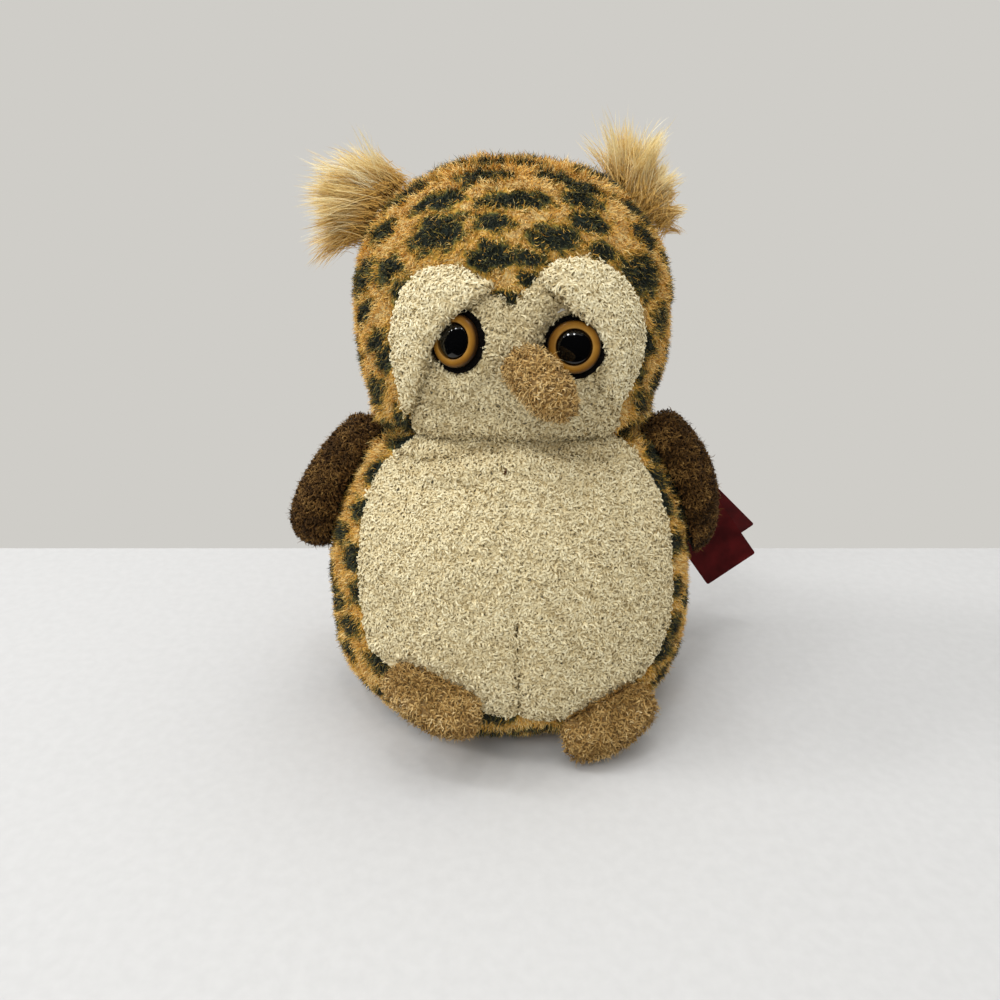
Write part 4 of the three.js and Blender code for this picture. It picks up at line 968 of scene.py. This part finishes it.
def limb_piece(name, limb, rows, spokes, materials, pile, seed):
    """A stuffed limb: its cloth, and a pile of loops and loose fibres over it."""
    backing, fibre = materials
    cloth, points, faces = limb_cloth(f"{name}_cloth", limb, rows, spokes, backing)
    draw = np.random.default_rng(seed)
    roots, out = scattered(points, faces, pile["density"], draw)
    free = standing(roots)[:, 2] > LEAST_PILE_HEIGHT
    for form in limb["forms"]:
        free &= height_over(form, roots)[0] > limb["clear"] + 0.3
    roots, out = roots[free], out[free]
    count = len(roots)
    loops = draw.random(count) < pile["loop_share"]
    span, rise = draw.uniform(*pile["span"], count), draw.uniform(*pile["rise"], count)
    arches = terry(draw, roots, out, span, rise)
    length = draw.uniform(*pile["length"], count)
    lay, lean = hanging(out), pile["lean"]
    loose = cut_pile(draw, roots, out, lay, length, lean, fray=0.55, curl=0.3, steps=LOOP_STEPS)
    lines = np.where(loops[:, None, None], arches, loose)
    width = np.where(loops, pile["loop_width"], pile["hair_width"]) * draw.uniform(0.7, 1.3, count)
    dye = np.clip(limb["paleness"] + 0.2 * lumps(roots, 9, 7) + 0.13 * draw.normal(size=count), 0, 1)
    tone = draw.random(count)
    fur = pile_object((f"{name}_pile", cloth, fibre), lines, width, out, dye, tone, pile["rise"][1])
    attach(cloth, name)
    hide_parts(name)


brown_dye = [(0.0, "#35240a"), (0.5, "#6f5023"), (1.0, "#b59054")]
# Curled sherpa fibres: painted dark at the roots as painted shade, and lighter towards the tips.
brown_fibre = fibre_material("brown_polyester_sherpa_pile", brown_dye, "#a89a82", "#d0c6b4", 0.85, 0.03)
# The backing is painted darker than the fibres: painted shade under the pile.
brown_backing = backing_material("brown_polyester_knit_backing", [(0.0, "#2a1b0d"), (1.0, "#3a2715")], 1.4)
WING = {
    "thick": 11.2, "wide": 13.6, "round_from": 0.8, "root_share": 0.16, "thick_shares": (1, 1, 0.94),
    "wide_shares": (0.8, 1.02, 0.95), "lifts": (0, 35), "forms": (body, head), "clear": 1.2, "sink": 0.9,
    "paleness": 0.45,
}  # fmt: skip
WING_PILE = {
    "density": 3.0, "loop_share": 0.6, "span": (1.5, 2.7), "rise": (1.1, 2.2), "length": (1.7, 3.0),
    "lean": 0.35, "loop_width": 0.26, "hair_width": 0.15,
}  # fmt: skip
left_spot, _ = skin_spot(body, 101.5, 182, 2.4)
right_spot, _ = skin_spot(body, 103, -2, 2.4)
wings = {
    "left": {"length": 53, "degrees": (58, 12), "placing": placing(left_spot, (0, -1, 0), (-1, 0, 0))},
    "right": {"length": 57, "degrees": (72, -26), "placing": placing(right_spot, (0, 1, 0), (1, 0, 0))},
}
for seed, (side, own) in enumerate(wings.items(), 61):
    limb = {**WING, **own}
    limb_piece(f"wing_{side}", limb, 56, 64, (brown_backing, brown_fibre), WING_PILE, seed)

# ---- Feet and beak --------------------------------------------------------------------------
# Small pads and a limp cone of golden terry with frizzy loops, lightly stuffed. The feet are sewn
# under the tummy's lower edge, and the beak is sewn between the eyes and droops to one side.

gold_dye = [(0.0, "#a98b52"), (0.5, "#e0c386"), (1.0, "#fff2c8")]
# Frizzy golden loops with brown shadows between them, painted onto their roots and their darker backing as
# painted shade.
gold_fibre = fibre_material("golden_polyester_terry_loops", gold_dye, "#c2ac84", "#dccfb8", 0.75, 0.05)
gold_backing = backing_material("golden_polyester_knit_backing", [(0.0, "#a88654"), (1.0, "#bd9a66")], 1.0)
FOOT = {
    "thick": 6.6, "wide": 17.4, "round_from": 0.6, "root_share": 0.25, "thick_shares": (0.7, 0.95, 0.98),
    "wide_shares": (0.78, 1, 0.95), "lifts": (0, 25), "forms": (body,), "clear": 1.0, "sink": 1.1,
    "paleness": 0.28,
}  # fmt: skip
GOLD_PILE = {
    "density": 3.0, "loop_share": 0.55, "span": (1.5, 3.0), "rise": (0.9, 2.1), "length": (1.6, 3.0),
    "lean": 0.3, "loop_width": 0.27, "hair_width": 0.14,
}  # fmt: skip
left_spot, left_out = skin_spot(body, TUMMY_END + 15, -110.5, 2)
right_spot, right_out = skin_spot(body, TUMMY_END + 6, -62, 2)
left_placing = placing(left_spot, (0.863, -0.33, -0.38), left_out)
right_placing = placing(right_spot, (0.866, 0.28, 0.413), right_out)
beak_spot, _ = skin_spot(head, 127, -87.5, 2.6)
beak_placing = placing(beak_spot, (0.7, 0, 0.71), (0, -1, 0))
gold_limbs = {
    "foot_left": {**FOOT, "length": 16, "degrees": (80, 30), "placing": left_placing},
    "foot_right": {**FOOT, "length": 18, "degrees": (60, -5), "placing": right_placing},
    "beak": {
        "thick": 7.2, "wide": 7.8, "round_from": 0.66, "root_share": 0.22, "thick_shares": (0.7, 1, 0.72),
        "wide_shares": (0.8, 1, 0.72), "lifts": (0, 20), "forms": (head,), "clear": 1.2, "length": 27,
        "sink": 1.1, "paleness": 0.5, "degrees": (66, 10), "placing": beak_placing,
    },
}  # fmt: skip
for seed, (name, limb) in enumerate(gold_limbs.items(), 71):
    limb_piece(name, limb, 44, 64, (gold_backing, gold_fibre), GOLD_PILE, seed)

# ---- Ear tufts ------------------------------------------------------------------------------
# Tufts of long golden fake fur on a small stuffed root, sewn along the head's side seams. The
# acrylic hair is up to about 25 mm long and holds together in soft pointed locks.

fur_dye = [(0.0, "#e6cc86"), (0.5, "#fff0bc"), (1.0, "#fffbe0")]
# Long combed acrylic hair: dense at the root and painted brown there as painted shade, pale and sheer at the
# tips.
long_hair = fibre_material("golden_acrylic_long_hair", fur_dye, "#d3b478", "#f2e8d2", 0.55, 0.05)
# The backing is painted dark brown: painted shade under the hair.
fur_backing = backing_material("golden_acrylic_knit_backing", [(0.0, "#6e4d1d"), (1.0, "#7c5823")], 1.2)
EAR = {
    "thick": 4.5, "wide": 12, "round_from": 0.5, "root_share": 0.2, "thick_shares": (0.9, 0.9, 0.7),
    "wide_shares": (1, 0.95, 0.7), "lifts": (-18, 18), "forms": (head,), "clear": 0.9, "degrees": (92, 84),
    "sink": 0.4,
}  # fmt: skip
LOCKS = 130
HAIRS = 6500
HAIR_STEPS = 8
LOCK_RADIUS = 1.9
LOCK_LEAN = 13  # degrees that locks stray from the comb
LOCK_LENGTHS = (0.65, 1.2)  # shares of the comb's length, and hairs' shares of their lock's
HAIR_LENGTHS = (0.6, 1.1)
HAIR_HALF_WIDTHS = (0.07, 0.12)
FRONT_TO_BACK = np.array([0, 1.0, 0])
SHADED_HAIR = 8  # the hair is painted darker, as painted shade, up to this height over its root
# Each row: where along the root, from its lower end (-1) to its upper end (1), the lean of the
# hair there from straight out (positive is up, in degrees), and its length.
ears = {
    "left": {
        "level": 174, "bearing": 184, "length": 9,
        "comb": [(-1, -58, 16), (-0.6, -44, 13), (-0.1, -32, 19), (0.4, -16, 22), (0.8, 0, 19), (1, 12, 12)],
    },
    "right": {
        "level": 176.5, "bearing": -4, "length": 8,
        "comb": [(-1, -34, 7), (-0.6, -8, 7), (-0.1, 22, 11), (0.3, 36, 17), (0.7, 46, 25), (0.85, 54, 21),
                 (1, 78, 11)],
    },
}  # fmt: skip
for seed, (side, own) in enumerate(ears.items(), 81):
    spot, out = skin_spot(head, own["level"], own["bearing"], 2)
    spot, axes = placing(spot, np.cross(out, (0, 1, 0)), out)
    core = {**EAR, "length": own["length"], "placing": (spot, axes)}
    cloth, points, faces = limb_cloth(f"ear_{side}_cloth", core, 24, 40, fur_backing)
    draw = np.random.default_rng(seed)
    locks = scattered(points, faces, 3, draw)[0]
    locks = locks[draw.choice(len(locks), LOCKS, replace=False)]
    upwards = axes[1] * np.sign(axes[1][2])
    share = np.clip(((locks - spot) @ upwards) / EAR["wide"], -1, 1)
    at, lean, reach = np.array(own["comb"], float).T
    lean = np.radians(np.interp(share, at, lean) + LOCK_LEAN * draw.normal(size=LOCKS))[:, None]
    ways = np.cos(lean) * axes[0] + np.sin(lean) * upwards
    ways = unit(ways + FRONT_TO_BACK * 0.22 * draw.normal(size=(LOCKS, 1)))
    lengths = np.interp(share, at, reach) * draw.uniform(*LOCK_LENGTHS, LOCKS)
    # Each hair of a lock gathers towards its tip, sags, waves a little and strays.
    of = draw.integers(0, LOCKS, HAIRS)
    spread = draw.normal(size=(HAIRS, 3)) * LOCK_RADIUS
    s = np.linspace(0, 1, HAIR_STEPS)[None, :, None]
    gather = spread[:, None] * (1 - 0.85 * s**0.7)
    sag = np.array([0, 0, -0.16]) * s**2 + 0.14 * unit(draw.normal(size=(LOCKS, 1, 3)))[of] * s**2
    wave = 0.05 * np.sin(4 * s + draw.uniform(0, 6.3, (HAIRS, 1, 1))) * unit(draw.normal(size=(HAIRS, 1, 3)))
    fray = 0.07 * draw.normal(size=(HAIRS, 1, 3))
    reach = (lengths[of] * draw.uniform(*HAIR_LENGTHS, HAIRS))[:, None, None]
    lines = locks[of][:, None] + gather + reach * (ways[of][:, None] * s + sag + (wave + fray) * s)
    facing = unit(ways[of] * 0.5 + draw.normal(size=(HAIRS, 3)) * 0.5 + np.array([0, -0.8, 0.5]))
    dye = np.clip(0.45 + 0.25 * draw.normal(size=LOCKS)[of] + 0.15 * draw.normal(size=HAIRS), 0, 1)
    width, tone = draw.uniform(*HAIR_HALF_WIDTHS, HAIRS), draw.random(HAIRS)
    named = (f"ear_{side}_fur", cloth, long_hair)
    fur = pile_object(named, lines, width, facing, dye, tone, SHADED_HAIR)
    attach(cloth, f"ear_{side}")
    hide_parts(f"ear_tuft_{side}")

# ---- Card tag and its fastener --------------------------------------------------------------
# A folded card tag, laminated dark red, hangs from a clear nylon fastener behind the right wing.
# Its cut edges show the card's pale core.

card, tree = new_material("laminated_dark_red_card")
way = node(tree, "NewGeometry").outputs["Normal"]
to_own = {"vector_type": "NORMAL", "convert_from": "WORLD", "convert_to": "OBJECT"}
own_way = node(tree, "VectorTransform", {"Vector": way}, **to_own).outputs["Vector"]
across_card = (0, math.cos(LEAN), -math.sin(LEAN))
facing = node(tree, "VectorMath", {0: own_way, 1: across_card}, operation="DOT_PRODUCT").outputs["Value"]
flatness = node(tree, "Math", {0: facing}, operation="ABSOLUTE").outputs[0]
face = node(tree, "MapRange", {"Value": flatness, "From Min": 0.6, "From Max": 0.7}).outputs["Result"]
grain = clouds(tree, 7, 3.0)
red = ramp(tree, grain, [(0.3, "#3f090b"), (0.7, "#5e1012")])
mixed = {"Factor": face, 6: linear("#c9a7a0"), 7: red}
card_colour = node(tree, "Mix", mixed, data_type="RGBA").outputs[2]
coat(tree, card_colour, 0.35, {"Normal": relief(tree, grain, 0.2, 0.3), "Specular IOR Level": 0.2})

# Clear nylon, drawn thin: milky and faintly glossy.
nylon, tree = new_material("clear_drawn_nylon")
milky = ramp(tree, clouds(tree, 2), [(0.3, "#c4c6c6"), (0.7, "#e2e4e4")])
coat(tree, milky, 0.35, {"IOR": 1.53, "Transmission Weight": 0.35})

# ---- Filling, pellet bag and washers --------------------------------------------------------
# Inside the covers: white polyester fibre, a small cotton bag of plastic pellets low in the body,
# and the eyes' lock washers. None of them shows while the seams are whole.


def filling_material(name, low, high, grain_mm, relief_mm, roughness):
    """Plain stuff with a grain of this size, which also stands up a little."""
    made, tree = new_material(name)
    grain = clouds(tree, grain_mm, 4.0)
    colour = ramp(tree, grain, [(0.35, low), (0.7, high)])
    coat(tree, colour, roughness, {"Normal": relief(tree, grain, relief_mm, 0.8)})
    return made


fibre_filling = filling_material("white_polyester_fibre_filling", "#d9d6cc", "#f1efe8", 3, 1.5, 0.95)
pellet_cloth = filling_material("plain_cotton_bag_cloth", "#b3a684", "#cfc3a2", 0.8, 0.3, 0.9)
washer_plastic = filling_material("moulded_nylon_washer", "#cfd1d0", "#dfe0e0", 2, 0.05, 0.45)
finishes = {
    "tag_front_leaf": card,
    "tag_back_leaf": card,
    "tag_pin": nylon,
    "head_stuffing": fibre_filling,
    "body_stuffing": fibre_filling,
    "pellet_bag": pellet_cloth,
    "eye_washer_left": washer_plastic,
    "eye_washer_right": washer_plastic,
}
for solid, finish in finishes.items():
    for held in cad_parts[solid].material_slots:
        held.material = finish

# ---- Table, wall and light ------------------------------------------------------------------
# A plain white table top that ends in front of a pale grey wall. A row of five small ceiling lamps
# up and to the left gives the eyes their dots. A soft window and a bright ceiling light the rest.

TABLE_END = 0.121
FLOOR_REACH = 6.0

corners = np.array([(-FLOOR_REACH, -FLOOR_REACH, 0), (FLOOR_REACH, -FLOOR_REACH, 0)])
corners = np.vstack([corners, [(FLOOR_REACH, TABLE_END, 0), (-FLOOR_REACH, TABLE_END, 0)]])
# White melamine, pressed and matt, with faint flecks.
plain, tree = new_material("white_melamine_table_top")
white = ramp(tree, clouds(tree, 4), [(0.3, "#c4c4c4"), (0.7, "#c8c8c8")])
coat(tree, white, 0.9, {"Specular IOR Level": 0.0})
floor = make_object("table_top", corners, np.array([4]), np.arange(4), plain, {}, False)

# Only gloss sees this: the dim side of the room, which the eyes mirror.
dark, tree = new_material("dim_room")
dim = node(tree, "Emission", {"Color": linear("#0c0b0a"), "Strength": 1.0})
node(tree, "OutputMaterial", {"Surface": dim.outputs["Emission"]})
corners = np.array([(x, y, z) for z in (-2, 4) for x, y in ((-2.3, 1), (-2.3, -1.2), (2.3, -1.2), (2.3, 1))])
sides = np.array([(k, k + 1, k + 5, k + 4) for k in range(3)]).ravel()
dim_side = make_object("dim_room", corners, np.full(3, 4), sides, dark, {}, False)
dim_side.visible_camera = dim_side.visible_diffuse = dim_side.visible_shadow = False
dim_side.visible_transmission = floor.visible_glossy = False

# The pale wall behind the table, and the light that it and the ceiling give.
world = bpy.data.worlds.new("pale_room")
bpy.context.scene.world = world
world.use_nodes = True
tree = world.node_tree
tree.nodes.clear()
way = node(tree, "TexCoord").outputs["Generated"]
upward = node(tree, "SeparateXYZ", {"Vector": way}).outputs["Z"]
room = ramp(tree, upward, [(0.0, "#cfcdc8"), (0.2, "#cfcdc8"), (0.5, "#dbdad7")])
light = node(tree, "Background", {"Color": room, "Strength": 1.0})
node(tree, "OutputWorld", {"Surface": light.outputs["Background"]})

TOY_MIDDLE = (0, 0, 0.11)


def add_lamp(name, place, width, height, watts):
    lamp = bpy.data.lights.new(name, "AREA")
    lamp.shape, lamp.size, lamp.size_y, lamp.energy = "RECTANGLE", width, height, watts
    made = bpy.data.objects.new(name, lamp)
    bpy.context.scene.collection.objects.link(made)
    made.location = place
    made.rotation_euler = (Vector(TOY_MIDDLE) - Vector(place)).to_track_quat("-Z", "Y").to_euler()
    return made


add_lamp("soft_window", (-0.45, -0.78, 0.95), 0.7, 0.5, 4.2).visible_glossy = False
add_lamp("bright_ceiling", (0.15, 0.2, 1.15), 0.7, 0.7, 3.6).visible_glossy = False
LAMP_SIZE = 0.1
LAMP_WATTS = 0.75
for number in range(5):
    along_row = (-0.03 - 0.4 * number, -0.24 + 0.1 * number, 1.0)
    wider = 1 + 0.25 * number  # the far ones are wider lamps
    size = LAMP_SIZE * wider
    add_lamp(f"ceiling_lamp_{number + 1}", along_row, size, size, LAMP_WATTS * wider**2)

# ---- Camera ---------------------------------------------------------------------------------
# A phone held a little above the toy's head, looking slightly down at it.

lens = bpy.data.cameras.new("phone")
lens.sensor_width = 36
lens.lens = 32.4
camera = bpy.data.objects.new("phone", lens)
bpy.context.scene.collection.objects.link(camera)
camera.location = (-0.004, -0.298, 0.196)
camera.rotation_euler = (math.radians(68), 0, 0)
bpy.context.scene.camera = camera
bpy.context.scene.view_settings.view_transform = "Standard"
